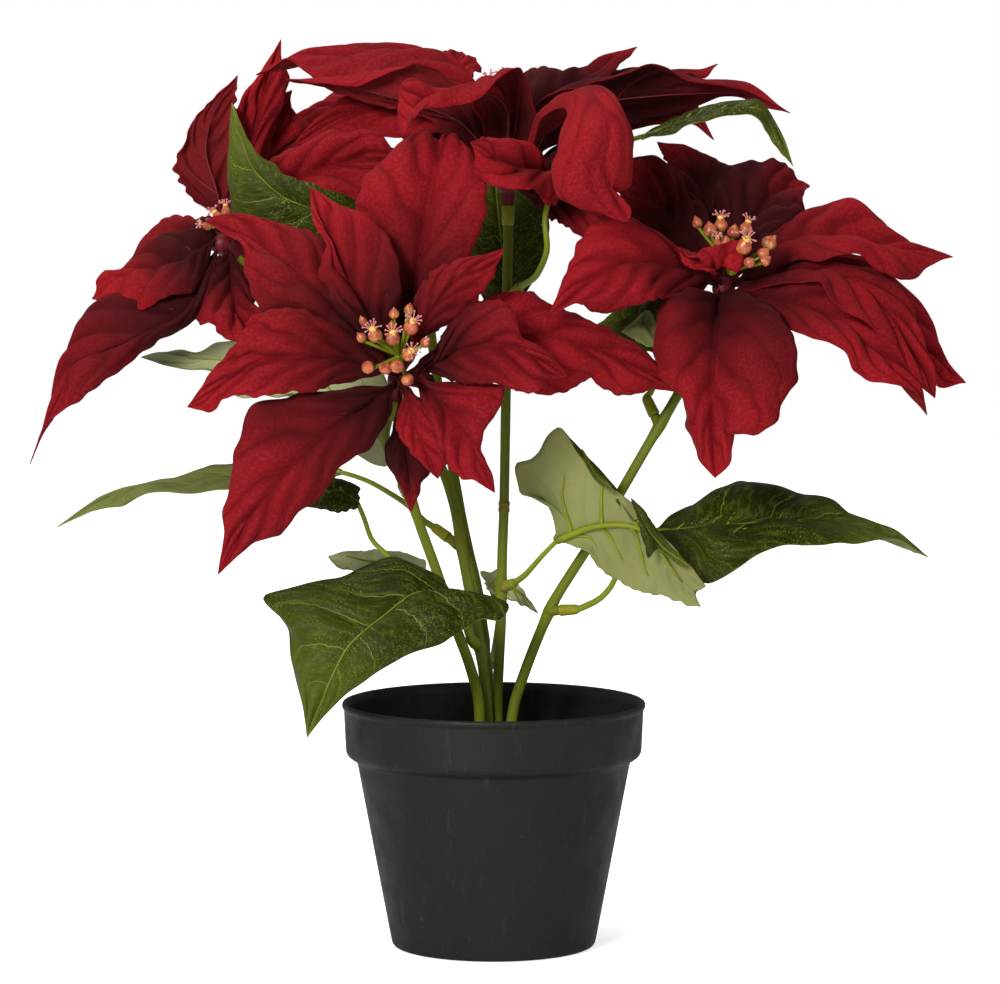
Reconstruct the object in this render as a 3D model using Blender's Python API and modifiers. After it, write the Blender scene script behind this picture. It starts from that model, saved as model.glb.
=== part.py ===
"""An artificial poinsettia in its 12 cm pot: five fabric blooms and thirteen leaves on five moulded stems.

Metres, +Z up. The origin is the centre of the pot's base and -Y is the front.
"""

import math

import bmesh
import bpy
import numpy as np
from mathutils import Vector

MM = 0.001
GAP = 0.3  # clearance between touching pieces, in millimetres like every size below

POT_RIM_DIAMETER = 120.4
POT_BASE_DIAMETER = 80.5
POT_HEIGHT = 97.7
POT_BAND_HEIGHT = 20.0
POT_BAND_RADIUS = 59.2
POT_SHOULDER_RADIUS = 53.8
POT_LIP_HEIGHT = 3.0
POT_WALL = 1.6
POT_STEPS = 32
FILLER_TOP = 73.0

STEM_RADIUS = 2.0
STEM_RESOLUTION = 2
PEG_RESOLUTION = 1
STEM_STEP = 15.0
PEG_RADIUS = 1.3
PEG_LENGTH = 5.0
SOCKET_RADIUS = PEG_RADIUS + GAP
SOCKET_DEPTH = PEG_LENGTH + 0.4
SLEEVE_RADIUS = 2.3
SLEEVE_LENGTH = 8.0
STUB_LENGTH = 3.0
STUB_RADIUS = 1.85
PETIOLE_RADIUS = 1.1
PETIOLE_STEP = 9.0
PETIOLE_INTO_BLADE = 6.0
HOLE_RADIUS = STEM_RADIUS + GAP
SINK = 1.5  # how far one shape runs into the next that it is joined to
CUT_BEYOND = 2.0  # how far a cutter reaches past the mouth it opens

COLLAR_RADIUS = 3.0
COLLAR_LENGTH = 8.0
HUB_RADIUS = 4.6

BRACT_THICKNESS = 0.8
LEAF_THICKNESS = 0.8
BLADE_COLUMNS = 2
CLAW_HALF_WIDTH = 3.2
CLAW_ROOT_SHARE = 0.6
CLAW_SINK = 2.0
SHEET_SOLVER = "MANIFOLD"  # sheets graze each other where they meet, which leaves slivers with EXACT

KNOB_RADIUS = 2.2
STALK_RADIUS = 0.7
HEAD_STRETCH = 1.15

# Points are given as (across, down, depth): across and down in the 1000 x 984 front view, and depth in
# millimetres behind the pot's axis. The view is seen from this eye, looking a little down.
EYE = (2.5, -2000.0, 365.0)
EYE_PITCH = math.radians(5.26)
VIEW_CENTRE = (500.0, 492.0)
VIEW_FOCUS = 5084.0

STEMS = {
    "front": [(479, 850, -12), (479, 790, -12), (480, 720, -12), (475, 680, -13), (460, 640, -18),
              (438, 575, -30), (425, 540, -36), (413, 505, -44), (395, 465, -52), (385, 440, -56),
              (387, 415, -58), (394, 400, -60)],
    "left": [(487, 850, -3), (487, 790, -3), (488, 720, -3), (482, 660, -3), (474, 610, -3),
             (465, 570, -2), (457, 520, 0), (447, 480, 4), (420, 430, 10), (370, 375, 16),
             (300, 320, 18), (262, 287, 12), (242, 269, 8), (235, 258, 6)],
    "back": [(490, 850, 9), (490, 790, 9), (491, 720, 9), (487, 680, 9), (483, 630, 11),
             (476, 580, 16), (466, 540, 22), (455, 480, 32), (440, 400, 46), (427, 300, 60),
             (418, 220, 70), (414, 165, 74)],
    "centre": [(499, 850, 2), (499, 790, 2), (497, 720, 2), (498, 680, 2), (501, 620, 2),
               (502, 560, 2), (504, 510, 2), (505, 450, 1), (506, 390, 0), (507, 290, 0),
               (508, 240, 0), (508, 205, 0)],
    "right": [(507, 850, -7), (507, 790, -7), (511, 720, -6), (522, 680, -6), (535, 645, -8),
              (552, 605, -10), (570, 575, -12), (588, 548, -14), (622, 490, -18), (642, 455, -20),
              (660, 425, -20), (686, 380, -20), (706, 335, -18), (716, 308, -17)],
}

# Each blade is (middle, left edge, right edge), from its root to its tip. Left and right are as seen on its
# upper face with the tip up, and both edges end at the tip that closes the middle.
BRACTS = {
    "front": {
        "top": ([(405, 362, -72), (412, 310, -76), (420, 255, -76), (430, 200, -72), (436, 158, -66),
                 (438, 134, -56), (442, 150, -38)],
                [(393, 335, -76), (374, 285, -80), (361, 240, -80), (357, 203, -76), (365, 175, -70),
                 (390, 148, -60), (420, 137, -48)],
                [(420, 330, -78), (440, 292, -84), (462, 256, -84), (476, 222, -82), (482, 190, -78),
                 (478, 158, -70), (464, 136, -58)]),
        "top_left": ([(398, 362, -74), (378, 330, -84), (352, 285, -90), (330, 240, -88), (318, 210, -82),
                      (310, 187, -72)],
                     [(352, 320, -88), (330, 292, -94), (318, 270, -94), (327, 247, -92), (314, 225, -88),
                      (311, 205, -80)],
                     [(402, 330, -84), (400, 290, -94), (392, 250, -94), (372, 220, -90), (340, 203, -82)]),
        "left_upper": ([(394, 366, -72), (362, 338, -78), (322, 300, -84), (282, 262, -80), (245, 236, -72),
                        (204, 221, -62)],
                       [(378, 356, -76), (345, 342, -82), (310, 330, -88), (264, 312, -90), (247, 275, -82),
                        (241, 246, -76), (222, 231, -68)],
                       [(380, 330, -76), (350, 290, -76), (330, 255, -74), (312, 230, -68), (285, 220, -64),
                        (250, 216, -62), (222, 215, -60)]),
        "left": ([(392, 374, -76), (350, 362, -84), (300, 356, -96), (255, 364, -96), (220, 386, -92),
                  (187, 407, -84)],
                 [(372, 374, -82), (340, 380, -90), (318, 389, -96), (270, 394, -100), (235, 394, -98),
                  (221, 399, -94), (210, 411, -88)],
                 [(378, 348, -78), (350, 330, -82), (322, 316, -90), (295, 308, -98), (258, 313, -98),
                  (240, 337, -98), (222, 358, -94), (203, 385, -90)]),
        "lower_left": ([(392, 386, -72), (360, 410, -84), (320, 440, -92), (280, 480, -94), (245, 525, -88),
                        (218, 575, -78)],
                       [(392, 410, -76), (382, 432, -84), (365, 450, -90), (340, 468, -92), (325, 497, -92),
                        (300, 514, -90), (280, 537, -86), (240, 555, -82)],
                       [(370, 386, -80), (330, 391, -88), (262, 400, -90), (248, 418, -92), (236, 450, -92),
                        (228, 490, -88), (222, 540, -82)]),
        "down_small": ([(400, 398, -66), (404, 440, -68), (408, 480, -68), (411, 512, -64)],
                       [(412, 430, -68), (432, 462, -68), (422, 490, -66)],
                       [(390, 430, -66), (383, 455, -66), (396, 485, -66)]),
        "down": ([(406, 390, -76), (412, 420, -82), (424, 450, -84), (438, 479, -80)],
                 [(425, 402, -80), (446, 430, -84), (448, 458, -84)],
                 [(399, 408, -76), (397, 428, -80), (406, 447, -82), (424, 466, -82)]),
        "down_right": ([(418, 382, -80), (448, 410, -90), (468, 440, -94), (484, 470, -92), (495, 493, -86)],
                       [(460, 382, -90), (500, 385, -94), (499, 408, -96), (479, 440, -94), (484, 460, -92),
                        (492, 474, -90)],
                       [(420, 400, -84), (438, 440, -92), (452, 474, -92), (475, 482, -90)]),
        "right": ([(424, 370, -78), (460, 350, -92), (500, 345, -98), (535, 357, -96), (568, 376, -88)],
                  [(420, 359, -80), (438, 350, -88), (447, 328, -94), (470, 306, -98), (500, 304, -100),
                   (516, 316, -100), (522, 335, -98), (548, 352, -94)],
                  [(440, 378, -84), (460, 380, -90), (495, 384, -96), (520, 389, -96), (545, 382, -92)]),
        "top_right": ([(412, 358, -78), (424, 330, -86), (440, 300, -92), (466, 272, -92), (504, 249, -84)],
                      [(405, 336, -82), (412, 300, -88), (430, 274, -92), (460, 257, -90), (485, 253, -86)],
                      [(422, 344, -82), (438, 333, -88), (452, 321, -94), (474, 300, -94), (492, 280, -90)]),
        "right_long": ([(422, 366, -72), (480, 345, -76), (540, 335, -72), (600, 350, -62), (650, 372, -52),
                        (684, 394, -44)],
                       [(450, 325, -74), (490, 297, -74), (522, 289, -70), (545, 294, -68), (590, 315, -60),
                        (640, 340, -52), (665, 368, -46)],
                       [(460, 372, -74), (520, 389, -74), (552, 393, -70), (590, 378, -64), (625, 394, -58),
                        (660, 389, -50)]),
    },
    "left": {
        "upright": ([(222, 228, 6), (214, 195, 6), (204, 150, 8), (214, 110, 14), (238, 75, 20)],
                    [(212, 212, 4), (195, 197, 2), (179, 180, 2), (176, 165, 4), (184, 142, 6),
                     (197, 115, 10), (218, 96, 14)],
                    [(232, 205, 10), (236, 160, 12), (236, 120, 14), (236, 95, 18)]),
        "tall": ([(228, 228, 12), (246, 160, 22), (262, 100, 26), (281, 39, 32)],
                 [(226, 190, 14), (232, 140, 18), (240, 99, 22), (254, 84, 24), (266, 64, 28)],
                 [(244, 190, 20), (266, 140, 24), (285, 100, 26), (288, 78, 28), (281, 58, 30)]),
        "rolled": ([(232, 232, 18), (252, 185, 32), (270, 140, 38), (292, 90, 40)],
                   [(240, 190, 24), (255, 150, 30), (257, 112, 32), (270, 100, 36)],
                   [(262, 190, 42), (290, 150, 48), (309, 129, 50), (300, 112, 46), (291, 100, 44)]),
        "right": ([(234, 238, -2), (270, 195, -22), (310, 172, -30), (350, 160, -32), (400, 160, -30)],
                  [(246, 195, -12), (262, 160, -20), (290, 148, -26), (320, 134, -28), (350, 132, -30),
                   (376, 130, -30)],
                  [(262, 215, -18), (285, 190, -32), (320, 192, -38), (358, 198, -40), (385, 185, -36)]),
        "left_upper": ([(216, 238, 0), (190, 256, -6), (150, 272, -8), (118, 286, -8), (92, 299, -8)],
                       [(205, 262, -10), (192, 286, -20), (160, 297, -24), (125, 301, -20), (104, 301, -14)],
                       [(212, 217, 6), (197, 213, 10), (182, 226, 12), (162, 228, 12), (142, 244, 10),
                        (121, 271, 6), (101, 275, 2), (98, 289, -2)]),
        "left_lower": ([(217, 250, 0), (185, 308, -22), (150, 328, -28), (125, 341, -30), (73, 362, -28),
                        (60, 395, -24), (42, 430, -20), (30, 464, -16)],
                       [(216, 284, -12), (197, 317, -22), (160, 341, -28), (122, 369, -30), (86, 394, -30),
                        (60, 415, -26), (42, 438, -20)],
                       [(206, 262, 4), (172, 282, 0), (135, 290, -4), (104, 299, -6), (82, 318, -10),
                        (73, 345, -14), (59, 380, -18), (45, 418, -18)]),
        "down": ([(230, 252, -2), (232, 285, -12), (242, 318, -20), (272, 352, -24)],
                 [(248, 270, -6), (264, 308, -14), (275, 335, -20)],
                 [(208, 260, -6), (198, 288, -14), (198, 316, -22), (214, 321, -26), (238, 341, -26)]),
        "rear": ([(234, 232, 16), (240, 222, 45), (244, 235, 75), (248, 264, 100)],
                 [(208, 222, 42), (212, 236, 75), (232, 250, 92)],
                 [(266, 226, 42), (270, 240, 75), (262, 254, 92)]),
        "rear_left": ([(222, 236, 14), (186, 222, 36), (155, 240, 60), (128, 284, 80)],
                      [(200, 240, 20), (160, 240, 36), (135, 262, 60)],
                      [(205, 218, 44), (180, 224, 66), (150, 250, 80)]),
    },
    "centre": {
        "left_long": ([(500, 160, 6), (465, 85, 14), (420, 62, 16), (370, 56, 14), (320, 60, 10),
                       (256, 75, 2)],
                      [(482, 110, 2), (445, 76, 0), (400, 63, -4), (370, 69, -8), (330, 80, -10),
                       (300, 72, -6), (280, 66, 0)],
                      [(480, 96, 20), (440, 58, 28), (400, 50, 30), (370, 45, 30), (335, 48, 26),
                       (300, 53, 18), (278, 61, 10)]),
        "left_under": ([(504, 172, -4), (465, 120, -12), (410, 98, -16), (350, 85, -16), (284, 79, -12)],
                       [(480, 110, -16), (440, 70, -24), (400, 66, -26), (350, 76, -22), (315, 78, -18)],
                       [(480, 150, -4), (440, 128, -6), (400, 116, -8), (345, 94, -8), (305, 87, -10)]),
        "left_rear": ([(504, 176, 4), (440, 125, 10), (380, 108, 10), (335, 118, 6), (291, 148, 0)],
                      [(450, 142, 4), (400, 134, 2), (360, 132, 2), (322, 133, 0), (306, 141, 0)],
                      [(440, 100, 20), (400, 92, 20), (355, 88, 18), (340, 92, 14), (312, 120, 6)]),
        "front_left": ([(506, 172, -8), (507, 114, -26), (484, 100, -42), (440, 103, -54), (399, 87, -58)],
                       [(526, 148, -14), (534, 116, -22), (524, 72, -40), (504, 80, -50), (479, 97, -58),
                        (450, 110, -62), (425, 119, -64), (404, 138, -66), (400, 112, -62)],
                       [(490, 140, -12), (486, 106, -20), (474, 90, -32), (452, 98, -40), (430, 88, -46),
                        (412, 75, -52)]),
        "front": ([(514, 182, -10), (545, 175, -36), (530, 168, -54), (505, 160, -68), (470, 142, -80)],
                  [(562, 200, -46), (542, 194, -58), (520, 193, -66), (500, 184, -74), (480, 158, -80)],
                  [(536, 158, -22), (550, 170, -40), (530, 150, -50), (500, 137, -62), (484, 138, -72)]),
        "front_right": ([(516, 172, -8), (548, 118, -26), (585, 97, -50), (606, 130, -70), (604, 170, -76),
                         (629, 222, -72)],
                        [(555, 125, -16), (595, 98, -36), (620, 110, -58), (637, 142, -66), (641, 162, -70),
                         (638, 184, -72), (619, 194, -74), (607, 190, -76), (630, 208, -74)],
                        [(532, 140, -20), (556, 112, -44), (567, 112, -60), (556, 150, -72), (553, 180, -76),
                         (562, 200, -78), (592, 211, -76), (620, 221, -74)]),
        "right_rear": ([(516, 174, 8), (540, 112, 16), (576, 84, 24), (608, 64, 30), (637, 47, 32)],
                       [(514, 138, 18), (522, 108, 26), (536, 69, 36), (556, 70, 38), (576, 80, 38),
                        (598, 60, 38), (618, 51, 36)],
                       [(545, 138, 8), (572, 100, 10), (596, 86, 14), (612, 70, 20), (627, 56, 26)]),
        "right_long": ([(518, 178, 0), (560, 112, -4), (620, 98, -4), (690, 92, -4), (750, 92, -4),
                        (790, 113, -8)],
                       [(545, 152, 8), (575, 138, 12), (605, 138, 14), (640, 130, 16), (690, 113, 12),
                        (735, 98, 4)],
                       [(540, 106, -16), (575, 80, -20), (620, 66, -24), (655, 58, -26), (690, 72, -22),
                        (740, 84, -12)]),
        "right_tip": ([(518, 172, 8), (572, 104, 22), (640, 78, 34), (690, 76, 38), (718, 64, 40)],
                      [(570, 84, 40), (640, 66, 48), (690, 70, 46)],
                      [(585, 112, 16), (640, 86, 22), (690, 82, 30)]),
        "right_low": ([(520, 180, 4), (590, 142, 20), (650, 118, 28), (692, 116, 28), (714, 140, 24)],
                      [(590, 112, 30), (650, 100, 38), (695, 108, 34)],
                      [(545, 180, 6), (590, 154, 18), (645, 128, 24), (690, 124, 24)]),
        "right_hanging": ([(516, 188, -2), (550, 196, -16), (590, 210, -24), (635, 232, -28)],
                          [(534, 158, -2), (560, 154, -8), (600, 186, -16), (625, 212, -22)],
                          [(548, 214, -22), (583, 236, -30), (612, 240, -32)]),
        "rear": ([(512, 172, 10), (535, 100, 34), (560, 80, 62), (582, 100, 92)],
                 [(502, 138, 24), (506, 108, 36), (528, 80, 66), (560, 84, 84)],
                 [(544, 150, 22), (564, 120, 32), (592, 96, 60), (590, 100, 78)]),
    },
    "right": {
        "front_down": ([(720, 298, -24), (716, 340, -50), (712, 385, -60), (712, 430, -62), (715, 478, -58)],
                       [(742, 290, -32), (768, 304, -44), (787, 324, -52), (798, 350, -60), (796, 376, -64),
                        (783, 400, -66), (780, 420, -66), (754, 435, -66), (737, 429, -64), (730, 419, -62),
                        (734, 448, -62), (728, 466, -60)],
                       [(698, 288, -32), (664, 304, -44), (654, 340, -52), (660, 376, -56), (680, 398, -58),
                        (685, 430, -60), (699, 460, -60)]),
        "low_right": ([(732, 296, -24), (785, 302, -34), (835, 318, -38), (885, 358, -38), (927, 415, -32)],
                      [(746, 280, -24), (776, 276, -26), (822, 274, -26), (858, 304, -26), (895, 346, -28),
                       (921, 388, -28)],
                      [(740, 306, -32), (762, 322, -38), (797, 339, -46), (834, 349, -50), (868, 378, -48),
                       (916, 391, -40)]),
        "right_down": ([(736, 284, -20), (790, 274, -24), (850, 286, -24), (895, 325, -22), (935, 398, -20)],
                       [(748, 264, -12), (780, 262, -8), (830, 258, -6), (872, 263, -6), (905, 300, -8),
                        (920, 335, -12), (936, 372, -16)],
                       [(746, 292, -28), (780, 290, -34), (820, 279, -40), (838, 302, -40), (872, 332, -36),
                        (915, 380, -28)]),
        "right_rear": ([(738, 278, -10), (800, 262, 4), (870, 284, 12), (925, 345, 10), (966, 383, 4)],
                       [(800, 248, 14), (870, 262, 24), (930, 325, 20), (950, 362, 10)],
                       [(800, 276, -2), (870, 306, 2), (915, 362, 4), (942, 383, 4)]),
        "right": ([(738, 270, -14), (790, 244, -10), (850, 234, -4), (900, 246, 0), (953, 257, 2)],
                  [(748, 248, -8), (770, 232, 0), (800, 217, 10), (850, 214, 14), (880, 222, 12),
                   (905, 237, 8)],
                  [(752, 276, -20), (780, 262, -22), (830, 256, -24), (862, 256, -20), (893, 276, -14),
                   (912, 273, -8), (925, 263, -4)]),
        "top_right": ([(732, 262, -8), (750, 222, 4), (775, 190, 14), (810, 186, 20)],
                      [(718, 250, -8), (720, 230, 0), (714, 195, 8), (728, 168, 16), (758, 164, 20),
                       (784, 160, 26), (790, 172, 26)],
                      [(752, 262, -8), (775, 238, -4), (803, 216, 4), (804, 194, 12)]),
        "top": ([(722, 262, -6), (712, 215, 10), (695, 175, 22), (657, 142, 34)],
                [(704, 256, -6), (700, 234, 0), (684, 205, 8), (670, 178, 18), (662, 157, 26)],
                [(740, 254, -2), (735, 225, 14), (738, 190, 26), (722, 166, 34), (690, 147, 36)]),
        "top_left": ([(712, 270, -12), (688, 240, -10), (660, 210, -4), (635, 185, 0), (608, 166, 4)],
                     [(700, 272, -16), (682, 256, -18), (655, 240, -16), (630, 218, -12), (610, 192, -6)],
                     [(722, 256, -10), (706, 232, -2), (686, 195, 6), (664, 168, 12), (636, 158, 12)]),
        "left": ([(712, 278, -24), (670, 264, -42), (625, 262, -58), (585, 285, -72), (547, 318, -82)],
                 [(706, 292, -28), (684, 296, -42), (650, 301, -60), (612, 310, -68), (578, 303, -76)],
                 [(704, 262, -26), (686, 252, -34), (650, 228, -40), (605, 219, -48), (583, 238, -60),
                  (566, 275, -72)]),
        "inner": ([(714, 272, -28), (708, 266, -42), (694, 258, -50), (677, 247, -52)],
                  [(712, 276, -38), (702, 270, -48), (688, 264, -53)],
                  [(718, 263, -44), (736, 258, -50), (722, 251, -54), (704, 251, -56), (690, 254, -55)]),
        "rear": ([(728, 262, 0), (744, 232, 32), (758, 240, 62), (772, 278, 88)],
                 [(716, 232, 34), (730, 240, 66), (752, 262, 82)],
                 [(776, 238, 28), (792, 256, 56), (785, 272, 76)]),
        "rear_left": ([(716, 264, 2), (692, 240, 34), (672, 250, 62), (650, 290, 84)],
                      [(670, 250, 26), (645, 264, 54), (645, 282, 74)],
                      [(712, 236, 44), (700, 250, 72), (670, 276, 84)]),
    },
    "back": {
        "up_left": ([(410, 134, 78), (400, 95, 82), (393, 64, 88), (398, 45, 98)],
                    [(388, 110, 78), (370, 78, 82), (378, 56, 90)],
                    [(418, 100, 88), (422, 70, 92), (412, 50, 98)]),
        "up_right": ([(414, 134, 78), (435, 95, 76), (454, 66, 80), (462, 52, 90)],
                     [(420, 105, 84), (430, 72, 86), (444, 54, 90)],
                     [(446, 112, 70), (474, 84, 72), (478, 62, 80)]),
        "left": ([(406, 138, 76), (365, 110, 72), (320, 112, 70), (275, 140, 68)],
                 [(375, 130, 60), (330, 132, 54), (295, 145, 58)],
                 [(372, 96, 86), (325, 98, 86), (290, 120, 80)]),
        "rear_left": ([(408, 138, 82), (380, 108, 104), (350, 115, 128), (320, 155, 146)],
                      [(370, 125, 90), (330, 128, 112), (312, 150, 134)],
                      [(400, 104, 112), (375, 112, 140), (340, 140, 152)]),
        "rear": ([(414, 138, 84), (425, 108, 112), (436, 120, 142), (444, 162, 166)],
                 [(402, 110, 116), (408, 126, 146), (430, 154, 162)],
                 [(450, 116, 112), (464, 134, 140), (456, 158, 158)]),
        "right_rear": ([(418, 140, 80), (456, 118, 98), (494, 130, 116), (530, 168, 128)],
                       [(446, 108, 112), (485, 118, 132), (520, 152, 140)],
                       [(464, 134, 84), (506, 148, 98), (530, 162, 114)]),
        "low_left": ([(408, 148, 72), (385, 165, 56), (362, 196, 48), (345, 236, 48)],
                     [(400, 180, 54), (385, 212, 44), (358, 232, 44)],
                     [(372, 150, 62), (344, 180, 58), (334, 216, 54)]),
        "low_rear": ([(412, 152, 84), (400, 165, 110), (392, 200, 130), (388, 246, 138)],
                     [(376, 170, 108), (366, 205, 124), (376, 236, 134)],
                     [(424, 174, 114), (420, 208, 134), (400, 238, 140)]),
    },
}

# Each leaf is (stem, peg point on the stem, way of the peg, petiole beyond it, blade).
LEAVES = {
    "front": ("left", (479, 648, -3), (466, 634, -18), [(462, 616, -42), (460, 600, -50)],
              ([(452, 594, -54), (415, 592, -62), (378, 620, -70), (350, 645, -74), (331, 678, -74),
                (307, 738, -66)],
               [(480, 594, -56), (508, 606, -58), (497, 622, -62), (475, 622, -66), (441, 646, -72),
                (400, 660, -76), (345, 695, -74), (322, 718, -70)],
               [(440, 576, -50), (400, 556, -50), (380, 558, -52), (345, 576, -56), (320, 581, -58),
                (264, 596, -60), (280, 617, -64), (289, 632, -66), (291, 660, -70), (303, 705, -70)])),
    "low_left_rear": ("back", (484, 640, 10), (471, 630, 22), [(455, 600, 20), (440, 585, 20)],
                      ([(425, 575, 20), (400, 566, 18), (370, 562, 16), (328, 556, 10)],
                       [(430, 590, 12), (395, 585, 8), (362, 575, 6), (338, 570, 8)],
                       [(425, 560, 30), (395, 550, 30), (365, 552, 24), (345, 553, 16)])),
    "low_right_rear": ("back", (486, 672, 9), (494, 655, 22), [(497, 630, 28), (498, 612, 30)],
                       ([(490, 586, 28), (502, 587, 28), (519, 595, 26), (538, 613, 22)],
                        [(480, 573, 34), (496, 574, 34), (512, 582, 32), (528, 598, 28)],
                        [(490, 594, 24), (500, 598, 24), (514, 601, 24), (530, 611, 20)])),
    "pale_right": ("centre", (502, 588, 2), (514, 583, -10), [(526, 574, -18), (542, 556, -26)],
                   ([(557, 541, -32), (590, 527, -40), (622, 524, -45), (642, 530, -47), (668, 562, -43),
                     (701, 607, -36)],
                    [(575, 546, -36), (591, 551, -38), (600, 568, -38), (614, 579, -38), (640, 590, -38),
                     (665, 598, -38), (688, 604, -36)],
                    [(553, 516, -32), (545, 499, -31), (520, 491, -28), (516, 465, -28), (531, 459, -31),
                     (545, 441, -34), (561, 427, -36), (585, 456, -41), (606, 481, -44), (632, 500, -48),
                     (660, 535, -48), (690, 566, -44), (705, 586, -40), (694, 591, -38)])),
    "right": ("right", (549, 611, -10), (566, 610, -14), [(598, 600, -16), (610, 588, -15),
                                                       (620, 570, -12), (640, 545, -8)],
              ([(656, 531, -6), (690, 527, -4), (735, 522, -2), (790, 518, 2), (850, 524, 6), (928, 557, 8)],
               [(672, 512, 4), (690, 500, 10), (718, 485, 18), (742, 478, 22), (775, 484, 24),
                (800, 490, 24), (830, 498, 22), (850, 514, 16), (895, 530, 12)],
               [(672, 550, -18), (705, 580, -26), (740, 566, -26), (785, 543, -22), (825, 546, -18),
                (875, 538, -8), (905, 545, 0)])),
    "top_right": ("centre", (507, 302, 0), (518, 289, -8), [(536, 276, -20), (547, 250, -32),
                                                        (545, 216, -32), (556, 186, -29),
                                                        (590, 158, -34), (620, 144, -34)],
                  ([(640, 137, -34), (690, 117, -32), (735, 108, -32), (760, 108, -32), (778, 127, -30),
                    (793, 166, -28)],
                   [(665, 121, -26), (700, 109, -24), (735, 104, -24), (757, 101, -26), (772, 118, -28),
                    (784, 138, -29)],
                   [(665, 134, -38), (700, 121, -40), (735, 113, -40), (752, 121, -38), (768, 132, -35),
                    (782, 152, -31)])),
    "middle_right": ("right", (660, 427, -20), (653, 412, -18), [(652, 390, -16), (656, 365, -14)],
                     ([(660, 350, -12), (650, 330, -12), (625, 320, -14), (590, 328, -18)],
                      [(655, 352, -24), (640, 346, -28), (622, 341, -28), (603, 335, -24)],
                      [(680, 320, 0), (672, 295, 2), (640, 300, 0), (610, 318, -8)])),
    "centre_rear": ("centre", (507, 350, 0), (507, 338, 12), [(507, 325, 18)],
                    ([(506, 312, 22), (505, 280, 26), (500, 230, 30), (495, 180, 30), (490, 150, 26)],
                     [(484, 300, 24), (466, 255, 28), (466, 205, 28), (476, 165, 26)],
                     [(526, 292, 20), (548, 252, 20), (548, 220, 22), (538, 195, 24), (512, 162, 26)])),
    "top_left": ("left", (400, 408, 13), (398, 392, 2), [(396, 350, -16), (392, 290, -34), (384, 245, -44)],
                 ([(372, 225, -48), (330, 215, -52), (285, 200, -54), (250, 165, -52), (232, 103, -46)],
                  [(340, 250, -44), (290, 250, -42), (250, 238, -42), (229, 215, -42), (227, 170, -44),
                   (229, 130, -46)],
                  [(352, 199, -54), (318, 190, -60), (290, 181, -60), (262, 160, -56), (247, 136, -51)])),
    "rear_top": ("back", (423, 265, 64), (412, 252, 52), [(400, 235, 40), (392, 215, 30)],
                 ([(385, 200, 24), (370, 182, 18), (345, 172, 14), (312, 172, 10)],
                  [(375, 212, 12), (352, 204, 6), (328, 190, 4)],
                  [(392, 178, 30), (378, 160, 30), (345, 155, 24), (325, 160, 16)])),
    "mid_left": ("front", (411, 500, -45), (402, 485, -34), [(400, 470, -22), (396, 456, -14)],
                 ([(388, 446, -10), (350, 415, -2), (290, 385, 6), (230, 362, 8), (185, 359, 6),
                   (141, 357, 0)],
                  [(386, 467, -14), (355, 455, -10), (320, 425, -6), (292, 398, -4), (240, 396, 0),
                   (214, 372, 2), (180, 369, 2), (160, 364, 0)],
                  [(392, 412, -2), (378, 366, 6), (340, 360, 12), (290, 345, 16), (228, 343, 18),
                   (205, 350, 14), (188, 353, 12), (160, 352, 6)])),
    "far_left": ("left", (458, 545, 0), (442, 533, 4), [(424, 521, 8), (405, 503, 14), (370, 482, 20)],
                 ([(340, 472, 24), (290, 470, 26), (230, 478, 20), (180, 486, 14), (120, 496, 6),
                   (57, 527, -4)],
                  [(320, 492, 16), (280, 500, 12), (230, 491, 8), (190, 496, 4), (148, 492, 2),
                   (122, 505, 0), (90, 511, -2)],
                  [(325, 452, 34), (285, 450, 36), (235, 463, 32), (212, 463, 30), (185, 472, 26),
                   (150, 481, 20), (118, 488, 12), (90, 504, 4)])),
    "small_left": ("front", (452, 618, -22), (436, 619, -22), [(412, 585, -32), (388, 556, -34),
                                                           (372, 540, -34), (364, 518, -36)],
                   ([(356, 500, -38), (340, 490, -42), (318, 492, -46), (286, 500, -48)],
                    [(358, 507, -42), (335, 511, -48), (312, 508, -50)],
                    [(360, 487, -34), (340, 476, -36), (312, 480, -40)])),
}

# The flower heads of each bloom, as (across, down, depth, radius), on stalks from its knob.
HEADS = {
    "front": ((400, 356, -85), [
        (375, 335, -98, 2.8), (393, 338, -99, 2.7), (409, 354, -99, 2.7), (411, 327, -97, 2.8),
        (367, 367, -96, 2.5), (385, 368, -98, 2.4), (397, 366, -101, 2.6), (426, 342, -95, 2.0),
        (408, 380, -95, 2.4), (394, 313, -94, 2.0), (409, 309, -92, 1.9), (363, 321, -93, 1.5),
        (361, 337, -93, 1.9), (392, 326, -93, 1.7)]),
    "left": ((223, 226, -5), [
        (218, 217, -4, 2.3), (226, 211, -4, 2.0), (211, 222, -7, 2.0), (232, 219, -5, 2.2),
        (206, 226, -9, 1.5), (223, 221, -9, 2.1)]),
    "centre": ((503, 118, 0), [
        (490, 84, -4, 2.4), (502, 82, 6, 2.5), (515, 86, 0, 2.4), (499, 90, -12, 2.3),
        (488, 92, 10, 2.3), (511, 90, 14, 2.3), (511, 96, -10, 2.3), (477, 92, 4, 2.1)]),
    "right": ((732, 270, -34), [
        (697, 222, -34, 2.0), (710, 229, -40, 2.8), (721, 225, -36, 2.7), (734, 231, -40, 2.6),
        (746, 228, -36, 2.5), (744, 246, -46, 3.2), (726, 241, -44, 2.2), (718, 243, -44, 1.8),
        (770, 242, -40, 3.0), (764, 253, -42, 2.5), (766, 260, -44, 2.2), (750, 262, -47, 2.2)]),
    "back": ((416, 112, 88), [
        (410, 84, 92, 2.4), (424, 84, 96, 2.4), (416, 80, 104, 2.5), (404, 88, 102, 2.3),
        (428, 88, 106, 2.3), (414, 88, 112, 2.3)]),
}

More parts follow.
